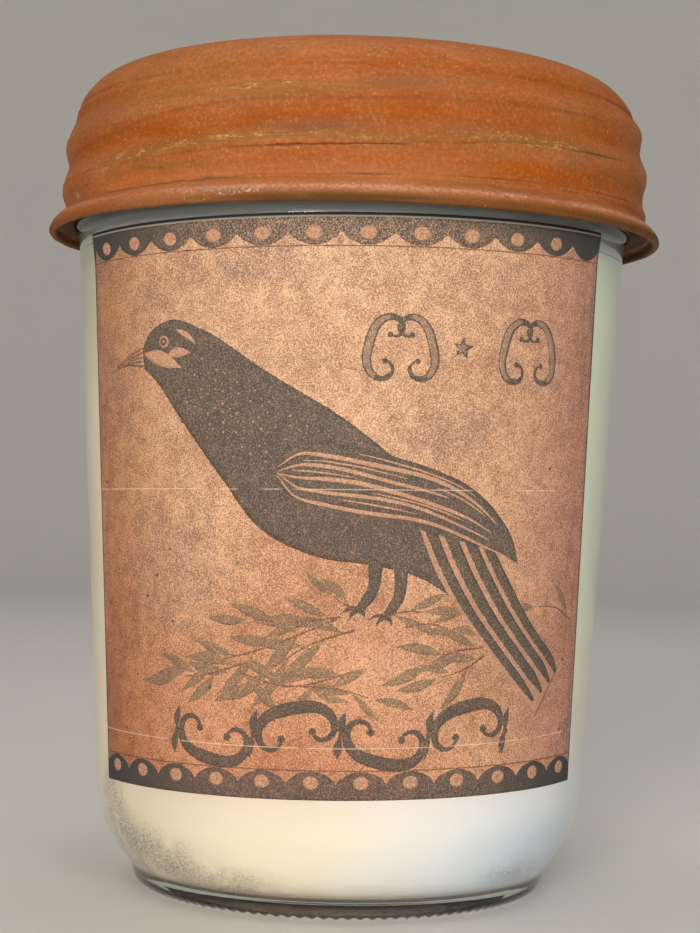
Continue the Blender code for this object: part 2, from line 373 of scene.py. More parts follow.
class Finish:
    """A material with one Principled shader, and short ways to add the nodes that feed it."""

    def __init__(self, name, **constants):
        self.material = bpy.data.materials.new(name)
        self.material.use_nodes = True
        self.tree = self.material.node_tree
        self.tree.nodes.clear()
        self.shader = self.add("ShaderNodeBsdfPrincipled")
        output = self.add("ShaderNodeOutputMaterial")
        self.tree.links.new(self.shader.outputs["BSDF"], output.inputs["Surface"])
        for socket, value in constants.items():
            self.set(socket.replace("_", " "), value)

    def set(self, socket, value):
        self.feed(self.shader.inputs[socket], value)

    def feed(self, socket, value):
        if isinstance(value, bpy.types.NodeSocket):
            self.tree.links.new(value, socket)
        else:
            socket.default_value = value

    def add(self, kind, inputs=None, **settings):
        node = self.tree.nodes.new(kind)
        for key, value in settings.items():
            setattr(node, key, value)
        for key, value in (inputs or {}).items():
            self.feed(node.inputs[key], value)
        return node

    def place(self):
        return self.add("ShaderNodeTexCoord").outputs["Object"]

    def stretched(self, place, scale):
        return self.add("ShaderNodeMapping", {"Vector": place, "Scale": scale}).outputs["Vector"]

    def axes(self, place):
        node = self.add("ShaderNodeSeparateXYZ", {"Vector": place})
        return node.outputs["X"], node.outputs["Y"], node.outputs["Z"]

    def field(self, name):
        return self.add("ShaderNodeAttribute", attribute_name=name).outputs["Fac"]

    def noise(self, place, scale, detail=2.0, roughness=0.5, distortion=0.0):
        inputs = {"Vector": place, "Scale": scale, "Detail": detail, "Roughness": roughness}
        inputs["Distortion"] = distortion
        return self.add("ShaderNodeTexNoise", inputs).outputs["Fac"]

    def step(self, value, low, high, bottom=0.0, top=1.0):
        """A smooth step from bottom to top as value goes from low to high."""
        inputs = {"Value": value, "From Min": low, "From Max": high, "To Min": bottom, "To Max": top}
        node = self.add("ShaderNodeMapRange", inputs, interpolation_type="SMOOTHSTEP")
        return node.outputs["Result"]

    def math(self, operation, first, second=0.0, third=None):
        inputs = {0: first, 1: second}
        if third is not None:
            inputs[2] = third
        return self.add("ShaderNodeMath", inputs, operation=operation).outputs["Value"]

    def times(self, first, *others):
        for other in others:
            first = self.math("MULTIPLY", first, other)
        return first

    def mix(self, amount, first, second, blend="MIX"):
        node = self.add("ShaderNodeMix", data_type="RGBA", blend_type=blend)
        for socket, value in ((0, amount), (6, first), (7, second)):
            self.feed(node.inputs[socket], value)
        return node.outputs[2]

    def coat(self, body, colour, *parts, blend="MIX"):
        """A colour laid over body, as far as the product of the parts says."""
        return self.mix(self.times(*parts), body, linear(colour), blend)

    def bump(self, height, strength, distance):
        inputs = {"Height": height, "Strength": strength, "Distance": distance}
        return self.add("ShaderNodeBump", inputs).outputs["Normal"]

    def dress(self, piece):
        piece.data.materials.append(self.material)


# ---------------------------------------------------------------- glass and wax


def wall_radius(z):
    """The outer radius of the jar's straight wall at a height."""
    return WALL_TOP_R - TAPER * (WALL_TOP_Z - z)


def heel_arc(inset, low_z, steps):
    """The rounded heel, moved inwards by inset, from its top down to low_z."""
    lean = atan(TAPER)
    centre_r = wall_radius(HEEL_Z) - HEEL_R * cos(lean)
    centre_z = HEEL_Z + HEEL_R * sin(lean)
    radius = HEEL_R - inset
    low = -np.degrees(np.arcsin((centre_z - low_z) / radius))
    return arc(centre_r, centre_z, radius, -np.degrees(lean), low, steps)


def inside_line(steps):
    """The jar's inner outline, from the middle of its floor up to the shoulder under the neck."""
    heel = heel_arc(GLASS_WALL, BASE_Z + 0.4, 12)[::-1]
    points = [(0.0, BASE_Z), (heel[0, 0] - 4.0, BASE_Z), (heel[0, 0] - 2.0, BASE_Z + 0.1), *heel]
    shoulder = ((40.0, 0.0), (60.0, 0.0), (80.0, 0.0), (98.0, 0.0), (102.5, 0.25), (105.0, 1.3))
    points += [(wall_radius(z) - GLASS_WALL - inset, z) for z, inset in shoulder]
    points += [(NECK_R - NECK_WALL, 108.0)]
    return smooth_curve(points, steps)


def jar_outline():
    """From the inner floor's middle, up the inside, over the lip and down the outside to the base."""
    inside = inside_line(INSIDE_ROWS)
    lip = NECK_WALL / 2
    neck = arc(NECK_R - lip, LIP_Z - lip, lip, 180, 0, 8)
    bead = [(NECK_R, 112.0), (NECK_R, 110.4), (44.6, 109.2), (BEAD_R - 0.2, BEAD_Z + 1.3), (BEAD_R, BEAD_Z)]
    bead += [(BEAD_R - 0.25, BEAD_Z - 1.2), (45.0, WALL_TOP_Z + 0.65), (WALL_TOP_R, WALL_TOP_Z)]
    bead += [(wall_radius(102.5), 102.5)]
    wall = np.array([(wall_radius(z), z) for z in np.linspace(101.5, HEEL_Z + 1.0, 34)])
    heel = heel_arc(0.0, FOOT_Z + 0.5, 26)
    foot = [(34.05, FOOT_Z + 0.28), (34.12, FOOT_Z), (33.85, FOOT_Z - 0.3), (33.72, 2.4), (33.62, 2.05)]
    foot += [(33.36, 1.84), (33.5, 1.62), (33.38, 1.25), (33.1, 0.75), (32.7, 0.32), (32.3, 0.1)]
    foot += [(BEARING_OUTER_R, 0.0), (BEARING_INNER_R, 0.0), (29.2, 0.35), (28.4, 1.2), (26.5, 1.8)]
    foot += [(24.0, PUSH_UP), (16.0, PUSH_UP), (8.0, PUSH_UP), (0.0, PUSH_UP)]
    return np.concatenate([inside, neck, smooth_curve(bead, 26), wall, heel, smooth_curve(foot, 52)])


def make_glass(settings):
    """The jar: its outline turned round the axis. The wall ripples a little, and the bearing ring is cut
    by a cosine wave of teeth that touch the ground at their crests."""
    radius, height, turn = spread(jar_outline(), 4 * settings.teeth)
    outer = fade(radius, 38.0, 40.0) * fade(height, 16.0, 30.0) * fade(height, 103.0, 98.0)
    outside = np.arange(len(radius))[:, None] >= INSIDE_ROWS
    ripple = waves(turn, height * 0.05, 3, 9, 5, 2.0) * settings.ripple / MM
    radius = radius + ripple * outer * outside
    ring = fade(radius, 29.3, 30.0) * fade(radius, 33.2, 32.4) * fade(height, 1.2, 0.5) * outside
    tooth = TOOTH_DEPTH * (0.5 - 0.5 * np.cos(settings.teeth * turn))
    height = np.maximum(height + ring * tooth, 0.0)
    return turned("jar_glass_fine", radius, height, turn, JAR_X)


def glass_finish(settings):
    """Clear pressed glass with the faint haze and smears of handling."""
    glass = Finish("clear_glass", IOR=1.5, Transmission_Weight=1.0)
    place = glass.place()
    glass.set("Base Color", linear(settings.tint))
    smear = glass.noise(glass.stretched(place, (1.0, 1.0, 0.35)), 60.0, 3.0)
    glass.set("Roughness", glass.step(smear, 0.35, 0.8, 0.015, 0.07))
    orange_peel = glass.noise(place, 130.0, 2.0)
    glass.set("Normal", glass.bump(orange_peel, 0.12, 0.0006))
    return glass


# spots on the wax: turn in degrees, height, width in degrees, half height and strength
MOTTLE_SPOTS = [
    (-52.0, 8.0, 17.0, 4.0, 1.0),
    (-66.0, 15.0, 8.0, 7.0, 0.8),
    (-25.0, 5.6, 14.0, 1.6, 0.8),
    (50.0, 7.0, 14.0, 2.2, 0.62),
]
FROST_SPOTS = [
    (48.0, 10.0, 20.0, 5.0, 0.9),
    (18.0, 7.0, 26.0, 4.0, 0.35),
]


def make_wax(settings):
    """The wax: the jar's inner outline moved out by the bite along its normal, and a little more at the
    foot. Its level top climbs the glass at the edge as a thin film."""
    inside = inside_line(60)
    along = np.gradient(inside, axis=0)
    along /= np.linalg.norm(along, axis=1)[:, None]
    deep = settings.bite / MM + WAX_SEAT * fade(inside[:, 1:], 11.0, 5.0)
    grown = inside + deep * np.stack([along[:, 1], -along[:, 0]], -1)
    below = grown[grown[:, 1] < WAX_LEVEL + WAX_CLIMB]
    rim_r = below[-1, 0]
    steps = np.append(np.linspace(0.0, 0.9, 10), np.linspace(0.92, 1.0, 10))
    climb = (WAX_CLIMB + WAX_DISH) * fade(steps, 0.92, 1.0) - WAX_DISH
    top = np.stack([(rim_r - 0.05) * steps, WAX_LEVEL + climb], -1)
    outline = np.concatenate([top, below[::-1]])
    outline[-1, 0] = 0.0
    radius, height, turn = spread(outline, 256)
    turn_all = turn * np.ones_like(radius)
    side = height < 30.0
    mottle_spots = MOTTLE_SPOTS + strewn(31, 5, 6.0, 9.0, 16.0, 3.0, 1.0)
    fields = {
        "mottle": spots(turn_all, height, mottle_spots) * side,
        "frost": spots(turn_all, height, FROST_SPOTS) * side,
    }
    return turned("wax_fill", radius, height, turn, JAR_X, fields)


def wax_finish(settings):
    """Cream wax, warm on the left and mottled round the heel where it has let go of the glass. Light and
    shade are painted into its colour: the cap's painted shade makes it greyer towards the top, painted light
    makes the thin band under the cap paler and bluish, painted cool light makes it paler and cooler up the
    right and round the right of the foot, the label's painted shadow makes it a little darker just under the
    label, and painted shade with a painted brown reflection darkens it at the foot."""
    wax = Finish("cream_wax", Subsurface_Weight=0.25, Subsurface_Scale=0.003, Specular_IOR_Level=0.35)
    wax.set("Subsurface Radius", (1.0, 0.8, 0.5))
    place = wax.place()
    x, y, z = wax.axes(place)
    cloud = wax.noise(place, 22.0, 3.0)
    height = wax.math("ADD", z, wax.math("MULTIPLY", cloud, 0.012))
    # painted shade of the cap: darker, greyer wax towards the top
    body = wax.coat(linear(settings.wax_body), settings.wax_cap_shade, wax.step(height, 0.078, 0.108))
    # painted light: paler, greener wax up the right side above the foot
    body = wax.coat(body, settings.wax_right_light, wax.step(x, 0.020, 0.040), wax.step(z, 0.020, 0.045), 0.8)
    # painted light in the thin band just under the cap
    body = wax.coat(body, settings.wax_under_cap_light, wax.step(z, 0.0995, 0.1035))
    # painted shadow of the label on the wax just below it, on the front only
    in_front = wax.times(wax.step(x, -0.036, -0.026), wax.step(x, 0.034, 0.024), wax.step(y, 0.0, -0.01))
    body = wax.coat(body, settings.painted_label_shadow, in_front, wax.step(z, 0.012, 0.019), blend="MULTIPLY")
    # painted cool light: paler, bluish wax round the right of the foot
    body = wax.coat(body, settings.wax_cool_light, wax.step(x, -0.012, 0.034), wax.step(z, 0.035, 0.012), 0.9)
    body = wax.coat(body, settings.wax_frost, wax.field("frost"), 0.6)
    speck = wax.noise(wax.stretched(place, (1.0, 1.0, 1.6)), 2500.0, 3.0, 0.7)
    patch = wax.noise(place, 150.0, 3.0, 0.6)
    mottle = wax.times(wax.step(wax.field("mottle"), 0.05, 0.9), wax.step(patch, 0.30, 0.55))
    body = wax.coat(body, settings.wax_spot, mottle, wax.step(speck, 0.42, 0.60, 0.25, 0.9))
    # painted shade and a painted brown reflection along the foot
    fringe = wax.step(z, 0.0050, 0.0036)
    body = wax.coat(body, settings.wax_foot_shade, fringe, wax.step(speck, 0.3, 0.7, 0.6, 1.0), 0.9)
    wax.set("Base Color", body)
    wax.set("Roughness", wax.step(speck, 0.2, 0.8, 0.42, 0.6))
    wax.set("Normal", wax.bump(wax.noise(place, 160.0, 3.0), 0.2, 0.0005))
    return wax


# ---------------------------------------------------------------- the cap


def skirt_radius(z):
    """The skirt's radius before the thread is rolled: straight low down, pulled in near the crown."""
    rise = np.clip((z - SKIRT_LOW_Z) / (SKIRT_HIGH_Z - SKIRT_LOW_Z), 0.0, None)
    return SKIRT_R - SKIRT_DRAW * rise**3


def crest_height(turn):
    """The height of the thread's crest at a turn: one pitch a turn, with a little sway."""
    return THREAD_CREST_Z + THREAD_PITCH * turn / TURN + THREAD_SWAY * np.sin(turn)


def thread_wave(turn, z):
    """1 on the crests of the rolled thread and -1 in its troughs."""
    return np.cos(TURN * (z - crest_height(turn)) / THREAD_PITCH)


def cap_outline():
    """Down the outside of the cap from the middle of its top, round the rim and up the inside."""
    top_r = np.linspace(0.0, CROWN_CENTRE_R - 1.5, TOP_ROWS)
    top = np.stack([top_r, np.full_like(top_r, CAP_TOP_Z)], -1)
    crown = arc(CROWN_CENTRE_R, CROWN_Z, CROWN_R, 90, 26, CROWN_STEPS)
    skirt_z = np.linspace(SKIRT_HIGH_Z, SKIRT_LOW_Z, 20)
    side = [crown[-1], (45.42, 124.75), (45.37, GROOVE_Z), (45.62, 124.1)]
    side += list(zip(skirt_radius(skirt_z), skirt_z, strict=True))
    side += [(SKIRT_R - 0.05, 108.7), (SKIRT_R - 0.2, FLARE_Z)]
    side += [(47.75, 107.75), (48.35, 107.2), (49.1, 106.55), (49.6, 105.95), (49.9, 105.35)]
    side += [(RIM_R, 104.85), (RIM_R - 0.12, 104.5), (RIM_R - 0.4, RIM_Z + 0.06), (RIM_R - 0.8, RIM_Z)]
    side += [(49.0, 104.4), (48.8, 104.8), (48.6, 105.6), (47.9, 106.6), (47.1, 107.5)]
    side += [(SKIRT_R - 0.15 - CAP_SHEET, 108.3), (SKIRT_R - CAP_SHEET, 109.4)]
    inner_z = np.linspace(SKIRT_LOW_Z + 1.0, SKIRT_HIGH_Z - 0.9, 16)
    inner = np.stack([skirt_radius(inner_z) - CAP_SHEET, inner_z], -1)
    inner_crown = arc(CROWN_CENTRE_R, CROWN_Z, CROWN_R - CAP_SHEET, 20, 90, 8)
    under = np.stack([np.linspace(CROWN_CENTRE_R - 6.0, 0.0, 5), np.full(5, CAP_TOP_Z - CAP_SHEET)], -1)
    side = smooth_curve(side, SIDE_ROWS + RIM_ROWS)[1:]
    return np.concatenate([top, crown, side, inner, inner_crown, under])


def wrapped(turn):
    """A turn in radians as degrees from -180 to 180."""
    return np.degrees((turn + pi) % TURN - pi)


def crease_away(turn, z, turns, heights):
    """How far above a crease's middle a point is, in millimetres, growing fast beyond its two ends."""
    path = smooth_curve(np.stack([turns, heights], -1), 80)
    degrees = wrapped(turn)
    middle = np.interp(degrees, path[:, 0], path[:, 1])
    ends = fade(degrees, turns[0], turns[0] + 14.0) * fade(degrees, turns[-1], turns[-1] - 14.0)
    return np.clip(z - middle, -4.0, 4.0) / np.maximum(ends, 0.02)


def spots(turn, z, places):
    """The sum of soft spots, each (turn in degrees, height, width in degrees, half height, strength)."""
    degrees = wrapped(turn)
    total = 0.0
    for middle, height, width, half_height, strength in places:
        away = (degrees - middle + 180.0) % 360.0 - 180.0
        total = total + strength * hump(away, 0.0, width) * hump(z, height, half_height)
    return np.clip(total, 0.0, 1.0)


def strewn(seed, count, low_z, high_z, width, half_height, strength):
    """Spots at random places round the sides and the back, where the front's own ones leave off."""
    draw = np.random.default_rng(seed)
    turns = draw.uniform(80.0, 280.0, count)
    heights = draw.uniform(low_z, high_z, count)
    sizes = draw.uniform(0.6, 1.3, count)
    return [
        (turn, height, width * size, half_height * size, strength)
        for turn, height, size in zip(turns, heights, sizes, strict=True)
    ]


# the paint's patches: spots on the front, each a turn in degrees, a height, a width in degrees, a half
# height and a strength, and what strewn() needs for the rest
PAINT_SPOTS = {
    "ochre": (
        [
            (-20.5, 121.2, 3.2, 0.55, 1.0),
            (-13.0, 121.6, 5.0, 0.4, 0.75),
            (-6.0, 120.7, 9.0, 0.3, 0.5),
            (-34.0, 121.0, 8.0, 0.9, 0.35),
            (22.0, 114.6, 10.0, 0.5, 0.6),
            (33.0, 114.9, 9.0, 0.8, 0.85),
            (46.0, 115.0, 9.0, 0.8, 0.7),
            (-66.0, 108.9, 4.5, 0.9, 1.0),
            (-38.0, 110.6, 9.0, 0.5, 0.6),
            (-46.0, 112.6, 12.0, 1.0, 0.6),
            (-30.0, 113.6, 12.0, 0.9, 0.75),
            (-12.0, 114.2, 14.0, 0.6, 0.6),
            (4.0, 113.6, 10.0, 0.5, 0.6),
            (-14.0, 120.0, 16.0, 0.4, 0.45),
            (4.0, 121.5, 9.0, 0.9, 0.35),
        ],
        (21, 14, 109, 123, 9.0, 0.7, 0.7),
    ),
    "dull": (
        [
            (-10.0, 115.0, 9.0, 1.2, 0.9),
            (-1.0, 115.6, 7.0, 1.0, 0.6),
            (18.5, 115.6, 4.5, 0.9, 0.85),
            (33.0, 116.2, 7.0, 0.8, 0.5),
            (8.0, 122.0, 9.0, 1.2, 0.7),
            (-52.0, 120.0, 10.0, 1.6, 0.5),
            (-8.0, 106.2, 14.0, 1.0, 0.5),
            (28.0, 106.9, 16.0, 0.9, 0.7),
        ],
        (22, 12, 106, 123, 10.0, 1.1, 0.8),
    ),
    "bright": (
        [
            (-45.0, 109.3, 7.0, 1.2, 1.0),
            (18.0, 110.8, 12.0, 1.0, 0.9),
            (33.0, 110.9, 10.0, 1.2, 0.8),
            (-50.0, 115.2, 9.0, 1.0, 0.6),
            (-33.0, 117.8, 8.0, 0.8, 0.6),
            (5.0, 118.0, 20.0, 1.2, 0.5),
            (45.0, 118.8, 12.0, 1.2, 0.6),
        ],
        (23, 12, 108, 123, 11.0, 1.1, 0.8),
    ),
    "bare": (
        [
            (-23.0, 106.0, 6.5, 0.7, 1.0),
            (-15.0, 106.2, 4.0, 0.45, 0.6),
            (-1.0, 106.7, 2.5, 0.35, 0.8),
            (6.0, 106.7, 3.0, 0.3, 0.5),
            (30.0, 106.6, 9.0, 0.45, 0.55),
            (-66.0, 108.6, 5.0, 0.8, 0.35),
        ],
        (24, 7, 105.8, 106.8, 6.0, 0.5, 0.8),
    ),
}

# the pressed creases: turns in degrees and heights along each, then its depth, its half width and how
# much darker paint lies round it, paint run into the crease and painted shade
CREASES = {
    "crease_high": (
        (-75, -50, -35, -20, 0, 15, 40, 60),
        (115.2, 116.9, 118.4, 119.2, 119.3, 119.8, 120.4, 120.7),
        (0.08, 0.5, 0.3),
    ),
    "crease_long": (
        (-42, -20, 0, 16, 27, 38, 50, 62),
        (111.7, 112.4, 112.7, 113.3, 114.3, 114.6, 114.9, 115.2),
        (0.16, 0.24, 0.3),
    ),
    "crease_low": (
        (-75, -50, -20, 0, 16, 30, 45, 75),
        (107.2, 107.7, 108.2, 108.4, 108.8, 109.1, 109.3, 109.6),
        (0.12, 0.26, 0.2),
    ),
}
# how dark and how wide the line of painted shade in each crease is
CREASE_SHADE = {"crease_high": (0.22, 0.5), "crease_long": (0.75, 0.24), "crease_low": (0.5, 0.2)}


def make_cap():
    """The cap: its outline turned round its own axis, with the thread, the creases and the lumps of the
    thick paint added to the radius, and the fields that place the paint's colours."""
    radius, height, turn = spread(cap_outline(), 330)
    turn_all = turn * np.ones_like(radius)
    low = fade(height, FLARE_Z, FLARE_Z + THREAD_FADE)
    high = fade(height, GROOVE_Z, GROOVE_Z - THREAD_FADE)
    skirt = (radius > SKIRT_R - 4.0) * low * high
    wave = thread_wave(turn_all, height)
    outer_rows = np.arange(len(radius))[:, None] < TOP_ROWS + CROWN_STEPS + 1 + SIDE_ROWS
    push = THREAD_DEPTH / 2 * wave * skirt
    # darker paint in the thread's troughs, the groove under the crown and round the creases: run-in paint
    # and painted shade
    hollow_pool_and_shade = 0.30 * fade(-wave, 0.3, 1.0) * skirt + 0.55 * hump(height, GROOVE_Z + 0.1, 0.3)
    away = {}
    for name, (turns, heights, (depth, half_width, pooled_and_shade)) in CREASES.items():
        away[name] = crease_away(turn_all, height, turns, heights)
        push = push - depth * hump(away[name], 0.0, half_width) * outer_rows
        hollow_pool_and_shade = hollow_pool_and_shade + pooled_and_shade * hump(away[name], 0.0, 3.0 * half_width)
    lump = waves(turn, height * 0.9, 11, 24, 40, 2.4) * 0.05
    lump = lump + waves(turn, height * 3.0, 12, 24, 70, 3.0) * 0.02
    push = push + lump * outer_rows * fade(radius, 30.0, 42.0)
    radius = np.where(radius > 0.0, radius + push, 0.0)
    radius = np.minimum(radius, RIM_R)
    patches = {}
    for name, (front_spots, recipe) in PAINT_SPOTS.items():
        patches[name] = spots(turn_all, height, front_spots + strewn(*recipe)) * outer_rows
    degrees = wrapped(turn_all)
    # painted shade on the rim's downward face, half as strong on the left
    rim_underside_shade = hump(height, RIM_Z + 0.55, 0.85) * (0.5 + 0.5 * fade(degrees, -32.0, -12.0))
    # the band along the top of the rim that carries its painted highlight and its gloss
    rim_top = hump(height, RIM_Z + 2.2, 0.5) * (0.35 + 0.65 * fade(degrees, -50.0, -15.0))
    fields = {
        "hollow_pool_and_shade": np.clip(hollow_pool_and_shade, 0.0, 1.0) * outer_rows,
        "crest": 0.5 + 0.5 * wave * skirt,
        "inside": (~outer_rows) * np.ones_like(radius),
        "rim_underside_shade": rim_underside_shade * outer_rows,
        "rim_top": rim_top * outer_rows,
        **patches,
        **away,
    }
    return turned("lid_fine", radius, height, turn, CAP_X, fields)


def cap_finish(settings):
    """Thick paint brushed round the cap, with light and shade painted into its colour: long streaks; lighter
    paint in broad worn patches and on the crests, worn thin there and with a painted sheen; darker paint in
    the troughs and creases, run-in paint with painted shade, and a dark line of painted shade along each
    crease;
    painted shade under the rim and a painted highlight along its top; ochre and orange patches; a pink patch
    of painted light low on the front; and flakes of bare metal on the rim."""
    paint = Finish("rust_paint", Specular_IOR_Level=0.06)
    place = paint.place()
    x, _, z = paint.axes(place)
    long = paint.stretched(place, (1.0, 1.0, 6.0))
    short = paint.stretched(place, (1.0, 1.0, 2.6))
    fine = paint.noise(long, 330.0, 4.0, 0.6, 0.3)
    broad = paint.noise(long, 62.0, 3.0, 0.5, 0.5)
    cloud = paint.noise(short, 60.0, 3.0, 0.5)
    grain = paint.noise(place, 1900.0, 3.0, 0.65)
    blotch = paint.noise(short, 210.0, 3.0, 0.6, 0.4)
    hollow_pool_and_shade = paint.field("hollow_pool_and_shade")
    crest = paint.field("crest")
    ochre = paint.field("ochre")
    rim_top = paint.field("rim_top")

    # lighter paint: worn thin in broad patches, and a painted sheen on the thread's crests
    rubbed = paint.math("MULTIPLY_ADD", paint.step(broad, 0.36, 0.66), 0.45, paint.times(crest, 0.5))
    rubbed = paint.times(rubbed, paint.step(cloud, 0.30, 0.62, 0.45, 1.0))
    body = paint.coat(linear(settings.paint), settings.worn, rubbed, paint.step(grain, 0.3, 0.6, 0.6, 1.0))
    body = paint.coat(body, settings.bright, paint.field("bright"), paint.step(blotch, 0.30, 0.60), 0.8)
    # darker paint in the troughs and creases: run-in paint and painted shade
    body = paint.coat(body, settings.pooled_and_shade, hollow_pool_and_shade, paint.step(broad, 0.3, 0.6, 0.6, 1.0))
    body = paint.coat(body, settings.dull, paint.field("dull"), paint.step(grain, 0.35, 0.6, 0.45, 0.95))
    # painted light: a paler pink patch low on the front of the skirt
    in_front = paint.times(paint.step(x, 0.024, 0.006), paint.step(x, -0.044, -0.026))
    body = paint.coat(body, settings.bloom, paint.step(z, 0.1130, 0.1080), in_front, 0.27)
    haze = paint.noise(paint.stretched(place, (1.0, 1.0, 2.2)), 34.0, 3.0, 0.55, 0.4)
    body = paint.coat(body, settings.haze, paint.step(haze, 0.44, 0.68, 0.0, 0.5))
    film = paint.step(grain, 0.32, 0.6, 0.2, 0.55)
    body = paint.coat(body, settings.film, paint.step(blotch, 0.50, 0.68), film)
    mud = paint.step(grain, 0.38, 0.60, 0.25, 0.85)
    body = paint.coat(body, settings.mud, paint.step(ochre, 0.05, 0.5), mud)
    streak = paint.times(paint.step(ochre, 0.3, 0.8), paint.step(fine, 0.50, 0.60))
    body = paint.coat(body, settings.ochre, streak, paint.step(grain, 0.42, 0.58, 0.1, 0.9))
    stray = paint.times(paint.step(fine, 0.60, 0.72), paint.step(cloud, 0.45, 0.7))
    body = paint.coat(body, settings.ochre, stray, 0.3)
    speckle = paint.step(blotch, 0.35, 0.6, 0.12, 0.32)
    body = paint.coat(body, settings.speckle, paint.step(grain, 0.50, 0.70), speckle)
    shade = paint.times(paint.step(fine, 0.25, 0.75, 0.93, 1.05), paint.step(grain, 0.25, 0.7, 0.91, 1.07))
    grey = {"Red": shade, "Green": shade, "Blue": shade}
    tone = paint.add("ShaderNodeCombineColor", grey).outputs["Color"]
    body = paint.mix(1.0, body, tone, "MULTIPLY")
    # painted shade under the rim
    under = paint.step(broad, 0.25, 0.6, 0.7, 1.0)
    body = paint.coat(body, settings.under, paint.field("rim_underside_shade"), under)
    waver = paint.math("MULTIPLY_ADD", fine, 0.7, -0.35)
    # a dark line of painted shade along each crease
    for name, (dark_part, wide) in CREASE_SHADE.items():
        away = paint.math("ABSOLUTE", paint.math("ADD", paint.field(name), waver))
        line = paint.times(paint.step(away, wide, 0.05), paint.step(broad, 0.36, 0.54))
        body = paint.coat(body, settings.crease, line, dark_part)
    # painted highlight along the top of the rim
    rim_highlight = paint.times(rim_top, paint.step(grain, 0.35, 0.6, 0.15, 0.85))
    body = paint.coat(body, settings.rim_highlight, rim_highlight, paint.step(blotch, 0.3, 0.6, 0.4, 1.0))
    body = paint.coat(body, settings.inside, paint.field("inside"), 0.7)
    dust = paint.step(paint.noise(place, 2300.0, 1.0), 0.745, 0.775)
    body = paint.coat(body, settings.dust, dust, paint.step(cloud, 0.4, 0.6, 0.2, 0.8))
    chip = paint.noise(place, 1700.0, 2.0, 0.6, 0.3)
    bare = paint.times(paint.step(chip, 0.56, 0.62), paint.step(paint.field("bare"), 0.15, 0.7))
    body = paint.coat(body, settings.metal, bare)
    paint.set("Base Color", body)
    paint.set("Metallic", paint.times(bare, 0.7))
    gloss = paint.times(rim_top, paint.step(broad, 0.35, 0.6, 0.3, 1.0))
    paint.set("Specular IOR Level", paint.math("MULTIPLY_ADD", gloss, 0.32, 0.06))
    dry = paint.math("SUBTRACT", paint.step(broad, 0.3, 0.7, 0.44, 0.60), paint.times(gloss, 0.18))
    paint.set("Roughness", paint.math("SUBTRACT", dry, paint.times(bare, 0.15)))
    marks = paint.math("ADD", paint.times(fine, 0.7), paint.times(grain, 0.3))
    marks = paint.math("SUBTRACT", marks, paint.times(bare, 0.3))
    paint.set("Normal", paint.bump(marks, 0.9, settings.brush * 4.0))
    return paint


# ---------------------------------------------------------------- the label


def sheet_place(across, up, lift):
    """Where a point of the flat label lies on the jar, millimetres. The sheet is cut to a slight fan,
    tilted, and wrapped round the taper: a step across it is the same step along the wall."""
    tilt = radians(LABEL_TILT)
    fan = 1 + (LABEL_TOP_W - LABEL_FOOT_W) / LABEL_W * up / LABEL_H
    across = across * fan
    z = LABEL_Z + across * sin(tilt) + up * cos(tilt)
    wall = wall_radius(z)
    turn = radians(LABEL_TURN) + (across * cos(tilt) - up * sin(tilt)) / wall
    radius = wall + lift
    return np.stack([JAR_X + radius * np.sin(turn), -radius * np.cos(turn), z], -1)


def sheet_lift(up, settings):
    """How far the paper's face stands off the glass: the top edge has come away a little."""
    curl = fade(up, LABEL_H / 2 - 5.0, LABEL_H / 2) * settings.curl
    return (settings.standoff + settings.thickness + curl) / MM


def sheet_uv(across, up):
    """A point of the flat sheet as its share of the way across and up."""
    return np.stack([across / LABEL_W + 0.5, up / LABEL_H + 0.5], -1)


def grid_quads(rows, columns, first=0):
    """The faces of a grid of points, numbered row by row from first."""
    index = first + np.arange(rows * columns).reshape(rows, columns)
    return np.stack([index[:-1, :-1], index[:-1, 1:], index[1:, 1:], index[1:, :-1]], -1).reshape(-1, 4)


def make_label(settings):
    """The paper: a grid over the flat sheet, wrapped and given its thickness inwards. Its own flat place
    is kept as the UV map."""
    across, up = np.meshgrid(
        np.linspace(-LABEL_W / 2, LABEL_W / 2, 150), np.linspace(-LABEL_H / 2, LABEL_H / 2, 140)
    )
    uv = sheet_uv(across, up)
    points = sheet_place(across, up, sheet_lift(up, settings))
    quads = grid_quads(*across.shape)
    piece = fill_mesh("label_fine", points.reshape(-1, 3) * MM, quads, uv=uv.reshape(-1, 2))
    thick = piece.modifiers.new("paper", "SOLIDIFY")
    thick.thickness = settings.thickness
    thick.offset = -1.0
    thick.material_offset_rim = 1
    return piece


def flat_place(finish):
    """The UV map as millimetres across and up the flat sheet."""
    uv = finish.add("ShaderNodeUVMap", uv_map="sheet").outputs["UV"]
    u, v, _ = finish.axes(uv)
    across = finish.math("MULTIPLY_ADD", u, LABEL_W, -LABEL_W / 2)
    up = finish.math("MULTIPLY_ADD", v, LABEL_H, -LABEL_H / 2)
    return across, up


def blot(finish, across, up, middle, size, rough):
    """A soft blot on the flat sheet: 1 at its middle, 0 beyond its size, its edge broken up by rough."""
    dx = finish.math("DIVIDE", finish.math("SUBTRACT", across, middle[0]), size[0])
    dy = finish.math("DIVIDE", finish.math("SUBTRACT", up, middle[1]), size[1])
    away = finish.math("SQRT", finish.math("ADD", finish.times(dx, dx), finish.times(dy, dy)))
    away = finish.math("ADD", away, finish.math("MULTIPLY_ADD", rough, 1.4, -0.7))
    return finish.step(away, 1.0, 0.25)


def scratch(finish, across, up, height, slope, bow, breaks):
    """A thin light line across the sheet, along height + slope * across + bow * across squared."""
    path = finish.math("MULTIPLY_ADD", across, slope, height)
    path = finish.math("ADD", path, finish.times(across, across, bow))
    away = finish.math("ABSOLUTE", finish.math("SUBTRACT", up, path))
    return finish.times(finish.step(away, 0.10, 0.03), finish.step(breaks, 0.34, 0.46))


